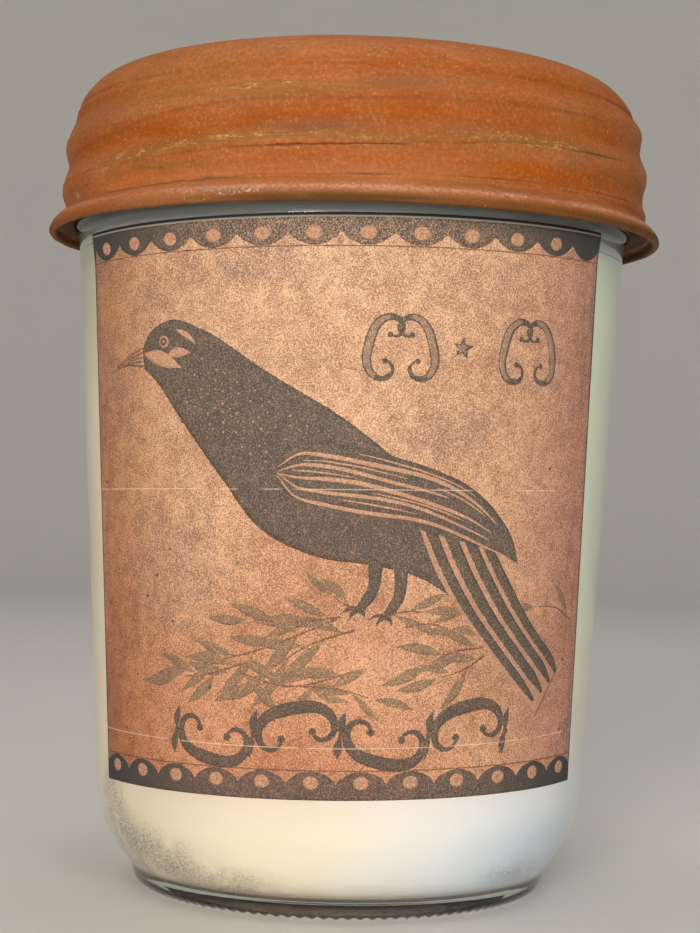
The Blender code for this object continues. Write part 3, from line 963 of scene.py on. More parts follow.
# blots on the sheet: middle, size across and up, and strength
SMUDGES = (
    ((16.0, 11.0), (13.0, 7.0), 0.42),
    ((-43.5, 38.0), (5.0, 7.0), 0.75),
    ((44.5, 30.0), (1.6, 10.0), 0.75),
    ((44.0, -35.0), (3.5, 7.0), 0.7),
    ((-44.5, -24.0), (1.2, 7.0), 0.85),
    ((-10.0, 35.0), (20.0, 5.5), 0.42),
    ((20.0, 33.0), (14.0, 5.0), 0.22),
    ((-27.0, -8.0), (13.0, 15.0), 0.46),
    ((-29.0, 30.0), (7.0, 5.0), 0.34),
    ((-38.0, 18.0), (8.0, 14.0), 0.34),
)


def paper_colour(finish, settings):
    """The aged paper's colour, with painted shade towards its sides, then its grain, its mottle, its
    scratches and its two flat places, which the inks use again."""
    place = finish.place()
    across, up = flat_place(finish)
    grain = finish.noise(place, 4800.0, 1.5, 0.6)
    medium = finish.noise(place, 420.0, 3.0, 0.6)
    cloud = finish.noise(place, 46.0, 3.0, 0.55)
    level = finish.math("ADD", finish.times(grain, 0.95), finish.times(medium, 0.30))
    level = finish.math("ADD", level, finish.times(cloud, 0.22))
    body = finish.coat(linear(settings.dark), settings.light, finish.step(level, 0.56, 0.92))
    warm = finish.step(finish.math("ADD", up, finish.times(cloud, 40.0)), 40.0, -30.0)
    warm = finish.times(warm, finish.step(across, 38.0, -5.0, 0.12, 0.55))
    body = finish.coat(body, settings.warm, warm, blend="MULTIPLY")
    # painted shade of the jar's curve towards the sheet's left and right sides
    for way, shade in ((-1.0, settings.left), (1.0, settings.right)):
        side = finish.math("ADD", finish.times(across, way), finish.times(cloud, 14.0))
        body = finish.coat(body, shade, finish.step(side, 26.0, 52.0), 0.9, blend="MULTIPLY")

    for middle, size, strength in SMUDGES:
        mark = blot(finish, across, up, middle, size, medium)
        body = finish.coat(body, settings.smudge, mark, finish.step(grain, 0.75, 0.3), strength)
    drip = finish.noise(finish.stretched(place, (1.0, 1.0, 0.06)), 900.0, 3.0)
    side = finish.step(finish.math("ABSOLUTE", across), 36.0, 44.0)
    body = finish.coat(body, settings.smudge, side, finish.step(drip, 0.50, 0.62), 0.35)
    breaks = finish.noise(place, 210.0, 2.0)
    lines = scratch(finish, across, up, 2.7, 0.0, 0.0, breaks)
    lines = finish.math("MAXIMUM", lines, scratch(finish, across, up, -34.6, 0.0, 0.0002, breaks))
    return body, grain, medium, lines, across, up


def finish_paper(finish, settings, body, grain, lines):
    """The last steps that paper and print share: light scratches, roughness and relief."""
    body = finish.coat(body, settings.scratch, lines, 0.6)
    finish.set("Base Color", body)
    finish.set("Roughness", finish.step(grain, 0.2, 0.8, 0.68, 0.85))
    finish.set("Normal", finish.bump(grain, 0.25, 0.00015))
    return finish


def label_finish(settings):
    """Aged, grainy paper with blots, drips and scratches, and a dark line along the sides and the top,
    which along the top is a painted shadow of the gap where the edge has come away.
    """
    paper = Finish("aged_paper", Specular_IOR_Level=0.3)
    body, grain, _, lines, across, up = paper_colour(paper, settings)
    from_side = paper.math("SUBTRACT", LABEL_W / 2, paper.math("ABSOLUTE", across))
    from_top = paper.math("SUBTRACT", LABEL_H / 2, up)
    body = paper.coat(body, settings.band, paper.step(from_top, 0.7, 0.6))
    # the dark line along the sides and the top; along the top a painted shadow of the gap where the edge has
    # come away
    rim = paper.math("MAXIMUM", paper.step(from_side, 0.34, 0.16), paper.step(from_top, 0.46, 0.36))
    body = paper.coat(body, settings.outline, rim, 0.95)
    return finish_paper(paper, settings, body, grain, lines)


def edge_finish(settings):
    """The paper's cut edge: pale fibre with a faint grey grain."""
    edge = Finish("paper_edge", Specular_IOR_Level=0.3, Roughness=0.85)
    fibre = edge.noise(edge.place(), 2600.0, 3.0)
    edge.set("Base Color", edge.coat(linear(settings.fibre), settings.edge, edge.step(fibre, 0.3, 0.7)))
    return edge


# ---------------------------------------------------------------- the print


class Print:
    """Gathers the flat patches of one ink and wraps them onto the label. A patch is a grid over the flat
    sheet in millimetres, and depth says how far inside the patch's outline each of its points is."""

    THICKNESS = 0.03

    def __init__(self, name):
        self.name = name
        self.places = []
        self.quads = []
        self.depths = []
        self.count = 0

    def patch(self, across, up, depth, layer=1):
        """Adds a grid of points. Its faces are turned over if the grid runs the other way round."""
        quads = grid_quads(*across.shape, self.count)
        right = np.diff(across, axis=1)[:-1] * np.diff(up, axis=0)[:, :-1]
        left = np.diff(up, axis=1)[:-1] * np.diff(across, axis=0)[:, :-1]
        if np.sum(right - left) < 0:
            quads = quads[:, ::-1]
        lift = np.full(across.size, 0.02 * layer)
        self.places.append(np.stack([across.ravel(), up.ravel(), lift], -1))
        self.quads.append(quads)
        self.depths.append(depth.ravel())
        self.count += across.size

    def ribbon(self, points, half_widths, steps=40, layer=1):
        """A stroke along a smooth curve through points; its half width is read between half_widths."""
        path = smooth_curve(points, steps)
        t = np.linspace(0.0, 1.0, steps)
        half = np.interp(t, np.linspace(0.0, 1.0, len(half_widths)), half_widths)
        along = np.gradient(path, axis=0)
        along /= np.linalg.norm(along, axis=1)[:, None]
        side = np.array([-1.0, -0.55, 0.0, 0.55, 1.0])
        across = path[:, :1] - along[:, 1:] * half[:, None] * side
        up = path[:, 1:] + along[:, :1] * half[:, None] * side
        depth = half[:, None] * (1 - np.abs(side))
        self.patch(across, up, depth, layer)

    def leaf(self, base, tip, half_width, bend=0.0, layer=1, steps=16):
        """A spindle from base to tip: half width times the sine of its share of the way, bent sideways."""
        base = np.asarray(base, float)
        tip = np.asarray(tip, float)
        t = np.linspace(0.015, 0.985, steps)[:, None]
        run = tip - base
        normal = np.array([-run[1], run[0]]) / np.linalg.norm(run)
        side = np.array([-1.0, -0.5, 0.0, 0.5, 1.0])
        half = half_width * np.sin(pi * t**0.9) ** 1.05
        middle = base + run * t + normal * bend * 4 * t * (1 - t)
        across = middle[:, :1] + normal[0] * half * side
        up = middle[:, 1:] + normal[1] * half * side
        self.patch(across, up, half * (1 - np.abs(side)), layer)

    def disc(self, middle, half_width, half_height, layer=1, columns=20):
        """An ellipse of rings round a pinpoint middle."""
        rings = np.array([0.02, 0.4, 0.7, 1.0])[:, None]
        turn = np.linspace(0.0, TURN, columns + 1)
        across = middle[0] + half_width * rings * np.cos(turn)
        up = middle[1] + half_height * rings * np.sin(turn)
        depth = (1 - rings) * min(half_width, half_height) * np.ones_like(turn)
        self.patch(across, up, depth, layer)

    def star(self, middle, outer, inner, tilt, layer=1):
        """A star of five points: rings round a pinpoint middle, out to tips and notches in turn."""
        turn = np.linspace(0.0, TURN, 11) + radians(90.0 + tilt)
        reach = np.where(np.arange(11) % 2 == 0, outer, inner)
        rings = np.array([0.03, 0.5, 1.0])[:, None]
        across = middle[0] + rings * reach * np.cos(turn)
        up = middle[1] + rings * reach * np.sin(turn)
        self.patch(across, up, (1 - rings) * inner * np.ones_like(turn), layer)

    def between(self, low, high, rows=5, layer=1, firm=0.0):
        """A field between two curves, given as arrays of (across, up) of the same length. A firm field
        counts as deeper than it is, so that its edges don't wear."""
        t = np.linspace(0.0, 1.0, rows)[:, None]
        across = low[:, 0] * (1 - t) + high[:, 0] * t
        up = low[:, 1] * (1 - t) + high[:, 1] * t
        width = np.hypot(*(high - low).T)
        self.patch(across, up, np.minimum(t, 1 - t) * width + firm, layer)

    def finished(self, settings):
        """The gathered patches as one piece on the label, with the ink's thickness."""
        place = np.concatenate(self.places)
        across, up, lift = place.T
        points = sheet_place(across, up, sheet_lift(up, settings) + lift)
        piece = fill_mesh(
            self.name,
            points * MM,
            np.concatenate(self.quads),
            uv=sheet_uv(across, up),
            fields={"depth": np.concatenate(self.depths)},
        )
        thick = piece.modifiers.new("ink", "SOLIDIFY")
        thick.thickness = self.THICKNESS * MM
        thick.offset = -1.0
        return piece


def scroll_path(middle, long, turn, curl, mirrored=False):
    """An S-shaped scroll, long from end to end: the bend of the line grows evenly with its distance from
    the middle, which curls both ends in."""
    s = np.linspace(-curl, curl, 161)
    step = s[1] - s[0]
    x = np.cumsum(np.cos(s * s * np.sign(s))) * step
    y = np.cumsum(np.sin(s * s * np.sign(s))) * step
    path = np.stack([x, y], -1)
    path -= (path[0] + path[-1]) / 2
    path /= np.ptp(path[:, 0])
    if mirrored:
        path[:, 1] *= -1
    c, n = cos(radians(turn)), sin(radians(turn))
    return middle + long * (path @ np.array([[c, n], [-n, c]]))


def draw_scroll(dark, fill, path, thick, thin):
    """A scroll as a dark stroke, thick in its middle and thin in its curls, filled with another ink."""
    t = np.linspace(-1.0, 1.0, 25)
    half = thin + (thick - thin) * np.cos(t * pi / 2) ** 1.5
    dark.ribbon(path[::4], half, 110, 2)
    if fill is not None:
        fill.ribbon(path[40:121:4], np.clip(half[6:19] - 0.24, 0.02, None), 60, 3)
    for end in (path[0], path[-1]):
        dark.disc(end, thin * 2.2, thin * 2.2, 2, 12)


def draw_borders(border, stem, bare, settings):
    """The upper and the lower border: a dark band whose free side is a row of scallops, a pale dot in each
    scallop but the last at the top, and a thin line along their tips. A scallop's outline is a half
    sine, raised to a power below one."""
    across = np.linspace(-LABEL_W / 2, LABEL_W / 2, settings.scallops * 16 + 1)
    for side, cusp, tip, edge, drop, left in (
        (1, 2.45, 4.6, 0.66, 2.85, 0.9),
        (-1, 2.3, 4.2, 0.0, 2.55, 0.0),
    ):
        pitch = (LABEL_W - left) / settings.scallops
        phase = (across + LABEL_W / 2 - left) / pitch
        round_out = np.abs(np.sin(pi * np.maximum(phase, 0.5 * (phase < 0)))) ** 0.62
        outer = np.full_like(across, side * (LABEL_H / 2 - edge))
        inner = side * (LABEL_H / 2 - cusp - (tip - cusp) * round_out)
        border.between(np.stack([across, inner], -1), np.stack([across, outer], -1), 9, 1, 0.03)
        line = side * (LABEL_H / 2 - tip - 0.1) + 0 * across
        stem.between(np.stack([across, line - 0.09], -1), np.stack([across, line + 0.09], -1), 3, 1, 0.1)
        for i in range(settings.scallops - (side > 0)):
            middle = (-LABEL_W / 2 + left + (i + 0.5) * pitch, side * (LABEL_H / 2 - drop))
            bare.disc(middle, 1.2, 0.98, 2)


def part_way(one, other, share_of_way):
    """The curve that lies a share of the way from one curve to another."""
    return one * (1 - share_of_way) + other * share_of_way


def draw_body(dark):
    """The bird's body, between a back line and a breast line."""
    back = [(-31.9, 22.9), (-29.9, 25.8), (-25.0, 27.6), (-20.2, 26.0), (-10.2, 19.7), (1.6, 12.4)]
    back += [(9.0, 6.6), (18.0, 0.0), (22.0, -5.0)]
    breast = [(-31.6, 20.8), (-28.9, 18.8), (-24.6, 13.6), (-17.2, 4.3), (-11.0, -3.2), (-2.5, -7.1)]
    breast += [(6.0, -8.3), (13.0, -10.4), (17.0, -12.9)]
    dark.between(smooth_curve(breast, 70), smooth_curve(back, 70), 21, 1)


def draw_beak(dark, rose, stem):
    """The beak, with the line between its halves and fine lines along it."""
    top = smooth_curve([(-31.6, 24.2), (-35.8, 22.3), (-40.0, 20.5)], 14)
    low = smooth_curve([(-31.2, 20.6), (-34.8, 21.0), (-40.0, 20.45)], 14)
    rose.between(low, top, 5, 2)
    dark.ribbon([(-39.6, 20.4), (-35.5, 21.3), (-31.4, 20.9)], [0.05, 0.12, 0.18], 16, 3)
    for at in (0.12, 0.3, 0.48, 0.66, 0.84):
        stem.ribbon(part_way(low, top, at)[:11], [0.16, 0.14, 0.05], 16, 3)


def draw_wing(dark, rose):
    """The wing: a long leaf, with broad and fine streaks drawn between its two edges."""
    top = [(-8.8, 5.2), (-7.6, 8.0), (-4.6, 9.3), (2.0, 8.9), (9.0, 7.2), (14.5, 5.5)]
    top += [(20.0, 3.0), (24.6, -0.9), (27.3, -4.4), (28.6, -8.2)]
    low = [(-8.8, 5.2), (-7.8, 2.6), (-5.0, 0.9), (-1.0, 0.2), (5.0, -0.7), (11.0, -1.8)]
    low += [(17.6, -3.8), (22.2, -5.4), (26.0, -6.8), (28.6, -8.2)]
    top = smooth_curve(top, 60)
    low = smooth_curve(low, 60)
    dark.between(low, top, 11, 2, 0.2)
    for at, end, wide in (
        (0.02, 56, 0.27),
        (0.24, 50, 0.24),
        (0.42, 53, 0.30),
        (0.60, 42, 0.26),
        (0.80, 55, 0.30),
    ):
        sway = 0.22 * np.sin(np.arange(60) * 0.21 + 9.0 * at)
        streak = part_way(low, top, at) + sway[:, None] * (0.0, 1.0)
        rose.ribbon(streak[1:end:6], [0.06, wide, wide * 1.1, wide, wide * 0.8, 0.08], 60, 4)
    for at, start, end in (
        (0.14, 16, 34),
        (0.33, 22, 44),
        (0.52, 6, 20),
        (0.70, 8, 30),
        (0.70, 34, 50),
        (0.90, 18, 46),
    ):
        streak = part_way(low, top, at)
        rose.ribbon(streak[start:end:4], [0.04, 0.13, 0.12, 0.04], 30, 4)


def draw_tail(dark, rose):
    """The tail: a fan of dark stripes on the rose ink, each narrowing to its end."""
    left = [(12.0, -3.0), (14.4, -8.4), (18.0, -14.4), (23.2, -20.6), (28.6, -26.2), (33.8, -31.2)]
    right = [(24.2, -6.2), (27.4, -11.2), (30.6, -15.6), (34.0, -19.2), (37.0, -21.8), (39.0, -24.2)]
    left = smooth_curve(left, 50)
    right = smooth_curve(right, 50)
    rose.between(left, right, 9, 2, 0.1)
    for low, high, last in ((0.06, 0.22, 47), (0.30, 0.49, 48), (0.57, 0.75, 49), (0.82, 0.995, 50)):
        one = part_way(left, right, low)
        two = part_way(left, right, high)
        swell = np.clip((last - np.arange(50)) / 7.0, 0.05, 1.0)[:, None] ** 0.5
        middle = (one + two) / 2
        one = middle + (one - middle) * swell
        two = middle + (two - middle) * swell
        dark.between(one[:last], two[:last], 5, 3)
    rose.ribbon([(12.2, -3.4), (14.6, -8.6), (17.6, -13.6)], [0.1, 0.3, 0.34], 24, 4)


def draw_legs(dark):
    """Two legs, each with three toes."""
    for hip, knee, foot in (
        ((5.6, -7.4), (5.1, -11.9), (3.2, -14.6)),
        ((9.3, -8.2), (8.9, -12.9), (7.1, -15.6)),
    ):
        dark.ribbon([hip, knee, foot], [1.1, 0.92, 0.85, 0.62], 24, 2)
        for toe, drop in ((-2.6, -0.5), (-1.5, -1.5), (0.9, -1.3)):
            toe_end = np.array(foot) + (toe, drop)
            toe_middle = (np.array(foot) + toe_end) / 2 + (0.0, 0.45)
            dark.ribbon([foot, toe_middle, toe_end], [0.45, 0.3, 0.06], 14, 2)


def draw_face(dark, rose):
    """The eye and three pale feathers round it."""
    eye = (-27.0, 24.4)
    rose.disc(eye, 0.95, 0.88, 3)
    dark.disc(eye, 0.66, 0.6, 4)
    rose.disc(eye, 0.24, 0.22, 5)
    rose.leaf((-31.2, 22.8), (-23.8, 20.4), 1.15, 0.25, 3)
    rose.leaf((-26.4, 22.4), (-22.0, 22.6), 0.75, 0.2, 3)
    rose.leaf((-24.8, 26.1), (-21.2, 23.8), 0.42, 0.3, 3)


def draw_dots(bare, draw):
    """Rows of small pale dots along the back and the breast, none over the wing."""
    along = np.array([0.853, -0.522])
    down = np.array([0.50, 0.86])
    for row in range(7):
        for column in range(22):
            place = np.array([-20.0, 21.4]) + (column * 1.32 + (row % 2) * 0.66) * along
            place = place - row * 1.25 * down + draw.normal(0.0, 0.16, 2)
            over_wing = place[0] > -9.0 and place[1] < 10.4 - 0.12 * place[0]
            if over_wing or draw.random() < 0.12:
                continue
            size = draw.uniform(0.09, 0.2)
            bare.disc(place, size, size * draw.uniform(0.7, 1.2), 3, 8)


def draw_bird(dark, rose, stem, bare, draw):
    """A plain bird looking left."""
    draw_body(dark)
    draw_beak(dark, rose, stem)
    draw_wing(dark, rose)
    draw_tail(dark, rose)
    draw_legs(dark)
    draw_face(dark, rose)
    draw_dots(bare, draw)


def draw_sprig(leaf, stem, base, tip, bend, leaves, size, draw):
    """A twig from base to tip along a bowed line, with leaves on its two sides in turn, set forwards, and
    one at its end. Each leaf is a spindle about eight times as long as it is wide."""
    base = np.asarray(base, float)
    tip = np.asarray(tip, float)
    run = tip - base
    normal = np.array([-run[1], run[0]]) / np.linalg.norm(run)
    path = smooth_curve([base, (base + tip) / 2 + normal * bend, tip], 60)
    stem.ribbon(path[::6], [0.19, 0.17, 0.14, 0.10], 40, 1)
    heading = np.gradient(path, axis=0)
    heading /= np.linalg.norm(heading, axis=1)[:, None]
    for i in range(leaves):
        side = 1 if i % 2 else -1
        at = int(6 + 50 * i / max(leaves, 1))
        spread_by = radians(draw.uniform(16.0, 34.0)) * side
        c, n = cos(spread_by), sin(spread_by)
        way = np.array([heading[at, 0] * c - heading[at, 1] * n, heading[at, 0] * n + heading[at, 1] * c])
        reach = size * draw.uniform(0.85, 1.15)
        start = path[at] + way * 0.5
        half_width = reach * draw.uniform(0.085, 0.118)
        bow = side * reach * draw.uniform(-0.02, 0.08)
        leaf.leaf(start, start + way * reach, half_width, bow)
        stem.ribbon([path[at], start, start + way * 0.6], [0.09, 0.07, 0.03], 8, 2)
    leaf.leaf(path[-1], path[-1] + heading[-1] * size, size * 0.11, size * 0.04)


def draw_twigs(leaf, stem, draw):
    """The twigs: for each, base, tip, bow, number of leaves and their length."""
    for base, tip, bend, leaves, size in (
        ((0.6, -15.6), (-13.3, -16.2), 0.5, 3, 6.6),
        ((0.0, -15.9), (-23.2, -23.4), 0.9, 6, 8.0),
        ((2.6, -17.5), (-10.0, -23.6), -0.9, 4, 8.4),
        ((-14.0, -22.6), (-25.5, -25.0), 0.5, 3, 7.6),
        ((2.9, -23.4), (-16.3, -24.0), 2.0, 4, 7.6),
        ((-14.4, -24.0), (-4.8, -25.9), -0.3, 2, 7.0),
        ((-5.2, -25.6), (5.6, -27.5), 0.5, 3, 6.2),
        ((7.4, -15.3), (13.0, -14.9), 0.3, 2, 6.2),
        ((22.5, -20.3), (13.4, -22.6), -0.7, 3, 7.6),
        ((22.8, -21.5), (15.0, -24.6), 0.5, 3, 6.8),
        ((10.0, -17.0), (17.2, -17.4), 0.5, 2, 6.6),
        ((2.4, -14.2), (-0.6, -12.4), 0.3, 1, 5.4),
        ((42.1, -17.0), (32.4, -14.6), -0.9, 1, 6.2),
    ):
        draw_sprig(leaf, stem, base, tip, bend, leaves, size, draw)


def draw_ornament(dark, fill):
    """Two upright scrolls with a star between them, and a running scroll below the twigs."""
    for x in (8.8, 29.2):
        draw_scroll(dark, fill, scroll_path((x - 1.9, 23.0), 9.0, 76.0, 2.25, True), 0.74, 0.2)
        draw_scroll(dark, fill, scroll_path((x + 2.0, 23.0), 9.0, 104.0, 2.25, False), 0.74, 0.2)
    dark.star((17.9, 23.2), 1.75, 0.72, -8.0, 2)
    fill.star((17.9, 23.2), 1.0, 0.42, -8.0, 3)
    for i in range(4):
        middle = (-19.0 + i * 13.2, -32.8)
        path = scroll_path(middle, 11.6, 12.0 if i % 2 else -12.0, 2.15, bool(i % 2))
        draw_scroll(dark, None, path, 0.98, 0.27)
    for i in range(5):
        x = -25.6 + i * 13.2
        for side in (-1, 1):
            dark.leaf((x, -32.8), (x + 0.6 * side, -32.8 + 3.6 * side), 0.62, 0.3 * side, 2)
        dark.disc((x, -32.8), 0.55, 0.55, 2, 12)


def draw_specks(dark, draw):
    """A few dozen ink specks, thickest on the left half."""
    for i in range(34):
        left = i < 22
        place = (draw.uniform(-43.0, -6.0 if left else 42.0), draw.uniform(-34.0, 22.0 if left else 34.0))
        size = draw.uniform(0.12, 0.34)
        dark.disc(place, size, size * draw.uniform(0.6, 1.0), 2, 8)


def make_print(settings, label):
    """The print's seven pieces, one for each ink."""
    dark = Print("print_dark")
    rose = Print("print_rose")
    fill = Print("print_fill")
    leaf = Print("print_leaves")
    stem = Print("print_stems")
    bare = Print("print_dots")
    border = Print("print_borders")
    draw = np.random.default_rng(5)
    draw_twigs(leaf, stem, draw)
    draw_borders(border, stem, bare, settings)
    draw_bird(dark, rose, stem, bare, draw)
    draw_ornament(dark, fill)
    draw_specks(dark, draw)
    return [ink.finished(label) for ink in (dark, rose, fill, leaf, stem, bare, border)]


def ink_finish(name, ink, settings, label, cover, show, under=None, sides=0.0):
    """An ink over the paper: the paper, or the ink under it, shows through in the grain and where the
    ink's edges are worn, and the ink itself is mottled. With sides above 0 it is denser towards the
    label's sides, and darker and greyer there as a painted shade."""
    finish = Finish(name, Specular_IOR_Level=0.3)
    body, grain, medium, lines, across, up = paper_colour(finish, label)
    if under is not None:
        body = finish.mix(finish.step(grain, 0.45, 0.70, 0.0, 0.4), linear(under), body)
    level = finish.math("ADD", finish.times(grain, 0.8), finish.times(medium, 0.2))
    lighter = finish.mix(settings.grain, linear(ink), body)
    tone = finish.mix(finish.step(level, 0.38, 0.68), linear(ink), lighter)
    inner = finish.step(finish.field("depth"), 0.0, 0.16)
    hold = finish.math("ADD", finish.times(inner, 0.55), finish.math("SUBTRACT", 1.0, level))
    coat = finish.times(finish.step(hold, 0.42, 0.62), cover)
    bald = finish.step(medium, 0.78 - 0.2 * settings.wear, 0.90, 0.0, 0.35)
    through = finish.times(finish.step(grain, 0.42, 0.66), show)
    if sides > 0.0:
        away = finish.math("ABSOLUTE", across)
        # painted shade: the ink is darker and greyer towards the label's sides
        tone = finish.coat(tone, settings.side, finish.step(away, 18.0, 44.0, 0.0, 0.85))
        beside = finish.step(away, 6.0, 40.0, sides, 0.0)
        beside = finish.times(beside, finish.step(up, -20.0, 20.0, 0.55, 1.0))
        through = finish.times(finish.step(grain, 0.36, 0.68), beside)
    coat = finish.times(coat, finish.math("SUBTRACT", 1.0, bald), finish.math("SUBTRACT", 1.0, through))
    body = finish.mix(coat, body, tone)
    return finish_paper(finish, label, body, grain, lines)


# ---------------------------------------------------------------- stage


def make_cove():
    """Floor and cove in one turned sheet: flat, then a quarter circle up to a low wall all round."""
    flat = np.stack([np.linspace(0.0, 900.0, 12), np.full(12, -0.2)], -1)
    bend = arc(900.0, 599.8, 600.0, -90, 0, 24)[1:]
    wall = np.array([(1500.0, 1000.0), (1500.0, 1400.0)])
    outline = np.concatenate([flat, bend, wall])
    columns = 96
    turn = np.arange(columns) * TURN / columns
    radius = outline[:, :1] * np.ones(columns)
    height = outline[:, 1:] * np.ones(columns)
    points = np.stack([radius * np.sin(turn), radius * np.cos(turn), height], -1)
    points = np.concatenate([[[0.0, 0.0, -0.2]], points[1:].reshape(-1, 3)])
    index = 1 + np.arange((len(outline) - 1) * columns).reshape(-1, columns)
    beside = np.roll(index, -1, axis=1)
    quads = np.stack([index[:-1], index[1:], beside[1:], beside[:-1]], -1).reshape(-1, 4)
    middle = np.stack([np.zeros(columns, int), index[0], beside[0]], -1)
    return fill_mesh("cove", points * MM, quads, middle)


def cove_finish(settings):
    """Matt pale paper with a barely seen mottle."""
    floor = Finish("pale_floor", Specular_IOR_Level=0.25)
    mottle = floor.noise(floor.place(), 9.0, 4.0)
    pale = np.asarray(settings.floor)
    floor.set("Base Color", floor.mix(mottle, linear(pale * 0.985), linear(np.minimum(pale * 1.01, 1.0))))
    floor.set("Roughness", floor.step(mottle, 0.2, 0.8, 0.7, 0.82))
    return floor


def add_lamp(name, place, aim, size, power, tint):
    """A square soft lamp at place, turned towards aim."""
    lamp = bpy.data.lights.new(name, "AREA")
    lamp.shape = "RECTANGLE"
    lamp.size, lamp.size_y = size
    lamp.energy = power
    lamp.color = tint
    stand = bpy.data.objects.new(name, lamp)
    stand.location = place
    stand.rotation_euler = (Vector(aim) - Vector(place)).to_track_quat("-Z", "Y").to_euler()
    stand.visible_camera = False
    bpy.context.scene.collection.objects.link(stand)


def add_lamps(settings):
    """The main lamp from the left, a weaker one from the right, one low, one overhead, and a plain sky."""
    aim = (0.0, 0.0, 0.06)
    add_lamp("key", (-0.24, -1.05, 0.38), aim, (0.5, 0.55), settings.key, (1.0, 0.95, 0.89))
    add_lamp("fill", (0.7, -1.15, 0.42), aim, (0.45, 0.4), settings.fill, (0.88, 0.94, 1.0))
    add_lamp("low", (0.0, -0.62, 0.04), (0.0, 0.0, 0.1), (0.5, 0.05), settings.low, (0.94, 0.97, 1.0))
    add_lamp("top", (0.0, 0.15, 1.1), aim, (0.8, 0.8), settings.top, (1.0, 0.98, 0.95))
    world = bpy.data.worlds.new("sky")
    world.use_nodes = True
    world.node_tree.nodes["Background"].inputs["Color"].default_value = (0.95, 0.97, 1.0, 1.0)
    world.node_tree.nodes["Background"].inputs["Strength"].default_value = settings.sky
    bpy.context.scene.world = world


def add_camera(settings):
    """The camera: its view is turned about the upright, tipped up and rolled about its own line."""
    turn, tip, roll = (radians(angle) for angle in (CAMERA_TURN, CAMERA_TIP, CAMERA_ROLL))
    ahead = Vector((sin(turn) * cos(tip), cos(turn) * cos(tip), sin(tip)))
    right = Vector((cos(turn), -sin(turn), 0.0))
    above = right.cross(ahead)
    across = right * cos(roll) + above * sin(roll)
    up = above * cos(roll) - right * sin(roll)
    data = bpy.data.cameras.new("camera")
    data.lens = settings.lens
    data.sensor_width = 36.0
    data.clip_start = 0.01
    camera = bpy.data.objects.new("camera", data)
    axes = Matrix((across, up, -ahead)).transposed().to_4x4()
    camera.matrix_world = Matrix.Translation(CAMERA_PLACE) @ axes
    bpy.context.scene.collection.objects.link(camera)
    bpy.context.scene.camera = camera


# ---------------------------------------------------------------- operators and panel


def attach(piece, slot, *nodes):
    """Puts a finished piece on the one body and hides the CAD nodes that it stands for. Its slot is not
    used.
    """
    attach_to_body(piece, "root")
    if nodes:
        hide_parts(*nodes)


class CANDLE_OT_glass(bpy.types.Operator):
    """Make the pressed glass jar"""

    bl_idname = "candle.make_glass"
    bl_label = "Glass jar"

    def execute(self, context):
        settings = context.scene.candle_jar
        piece = make_glass(settings)
        glass_finish(settings).dress(piece)
        piece.visible_shadow = False
        attach(piece, "clear_glass", "jar_glass")
        return {"FINISHED"}


class CANDLE_OT_wax(bpy.types.Operator):
    """Fill the jar with wax"""

    bl_idname = "candle.make_wax"
    bl_label = "Wax"

    def execute(self, context):
        settings = context.scene.candle_jar
        piece = make_wax(settings)
        wax_finish(settings).dress(piece)
        attach(piece, "cream_wax", "wax")
        return {"FINISHED"}


class CANDLE_OT_cap(bpy.types.Operator):
    """Make the painted screw cap"""

    bl_idname = "candle.make_cap"
    bl_label = "Screw cap"

    def execute(self, context):
        settings = context.scene.candle_cap
        piece = make_cap()
        cap_finish(settings).dress(piece)
        attach(piece, "rust_paint", "lid")
        return {"FINISHED"}


class CANDLE_OT_label(bpy.types.Operator):
    """Wrap the paper label round the jar"""

    bl_idname = "candle.make_label"
    bl_label = "Paper label"

    def execute(self, context):
        settings = context.scene.candle_label
        piece = make_label(settings)
        label_finish(settings).dress(piece)
        edge_finish(settings).dress(piece)
        piece.visible_shadow = False
        attach(piece, "aged_paper", "label")
        return {"FINISHED"}


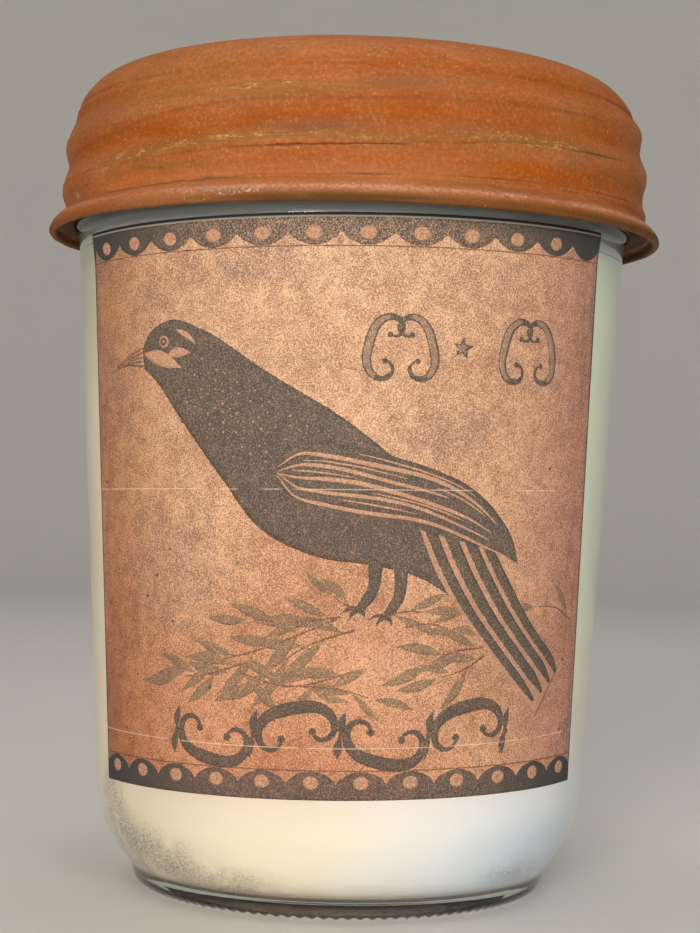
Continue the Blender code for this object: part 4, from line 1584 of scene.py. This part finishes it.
class CANDLE_OT_print(bpy.types.Operator):
    """Print the borders, the bird, the twigs and the scrolls on the label"""

    bl_idname = "candle.make_print"
    bl_label = "Print"

    def execute(self, context):
        settings = context.scene.candle_print
        label = context.scene.candle_label
        dark, rose, fill, leaf, stem, bare, border = make_print(settings, label)
        ink_finish("ink_dark", settings.dark, settings, label, 1.0, 0.15).dress(dark)
        ink_finish("ink_rose", settings.rose, settings, label, 0.85, 0.75).dress(rose)
        ink_finish("ink_fill", settings.fill, settings, label, 0.95, 0.35).dress(fill)
        ink_finish("ink_leaf", settings.leaf, settings, label, 0.92, 0.45).dress(leaf)
        ink_finish("ink_stem", settings.stem, settings, label, 0.95, 0.3).dress(stem)
        ink_finish("ink_bare", settings.bare, settings, label, 0.95, 0.9, settings.border).dress(bare)
        ink_finish("ink_border", settings.border, settings, label, 1.0, 0.0, sides=0.5).dress(border)
        for piece in (dark, rose, fill, leaf, stem, bare, border):
            piece.visible_shadow = False
            attach(piece, "aged_paper")
        return {"FINISHED"}


class CANDLE_OT_stage(bpy.types.Operator):
    """Set up the floor, the lamps and the camera"""

    bl_idname = "candle.make_stage"
    bl_label = "Stage"

    def execute(self, context):
        settings = context.scene.candle_stage
        cove = make_cove()
        cove_finish(settings).dress(cove)
        add_lamps(settings)
        add_camera(settings)
        context.scene.view_settings.view_transform = "Standard"
        return {"FINISHED"}


OPERATORS = (
    CANDLE_OT_glass,
    CANDLE_OT_wax,
    CANDLE_OT_cap,
    CANDLE_OT_label,
    CANDLE_OT_print,
    CANDLE_OT_stage,
)
SETTINGS = {
    "candle_jar": JarSettings,
    "candle_cap": CapSettings,
    "candle_label": LabelSettings,
    "candle_print": PrintSettings,
    "candle_stage": StageSettings,
}


class CANDLE_PT_panel(bpy.types.Panel):
    """Lists the settings and the operators"""

    bl_idname = "CANDLE_PT_panel"
    bl_label = "Jar candle"
    bl_space_type = "VIEW_3D"
    bl_region_type = "UI"
    bl_category = "Candle"

    def draw(self, context):
        layout = self.layout
        for name, group in SETTINGS.items():
            box = layout.box()
            box.label(text=group.__name__.replace("Settings", ""))
            for prop in group.__annotations__:
                box.prop(getattr(context.scene, name), prop)
        for operator in OPERATORS:
            layout.operator(operator.bl_idname)


def register():
    for group in SETTINGS.values():
        bpy.utils.register_class(group)
    for name, group in SETTINGS.items():
        setattr(bpy.types.Scene, name, PointerProperty(type=group))
    for operator in OPERATORS:
        bpy.utils.register_class(operator)
    bpy.utils.register_class(CANDLE_PT_panel)


def unregister():
    bpy.utils.unregister_class(CANDLE_PT_panel)
    for operator in reversed(OPERATORS):
        bpy.utils.unregister_class(operator)
    for name in SETTINGS:
        delattr(bpy.types.Scene, name)
    for group in reversed(SETTINGS.values()):
        bpy.utils.unregister_class(group)


def main():
    register()
    bpy.ops.candle.make_glass()
    bpy.ops.candle.make_wax()
    bpy.ops.candle.make_cap()
    bpy.ops.candle.make_label()
    bpy.ops.candle.make_print()
    bpy.ops.candle.make_stage()


if __name__ == "__main__":
    main()
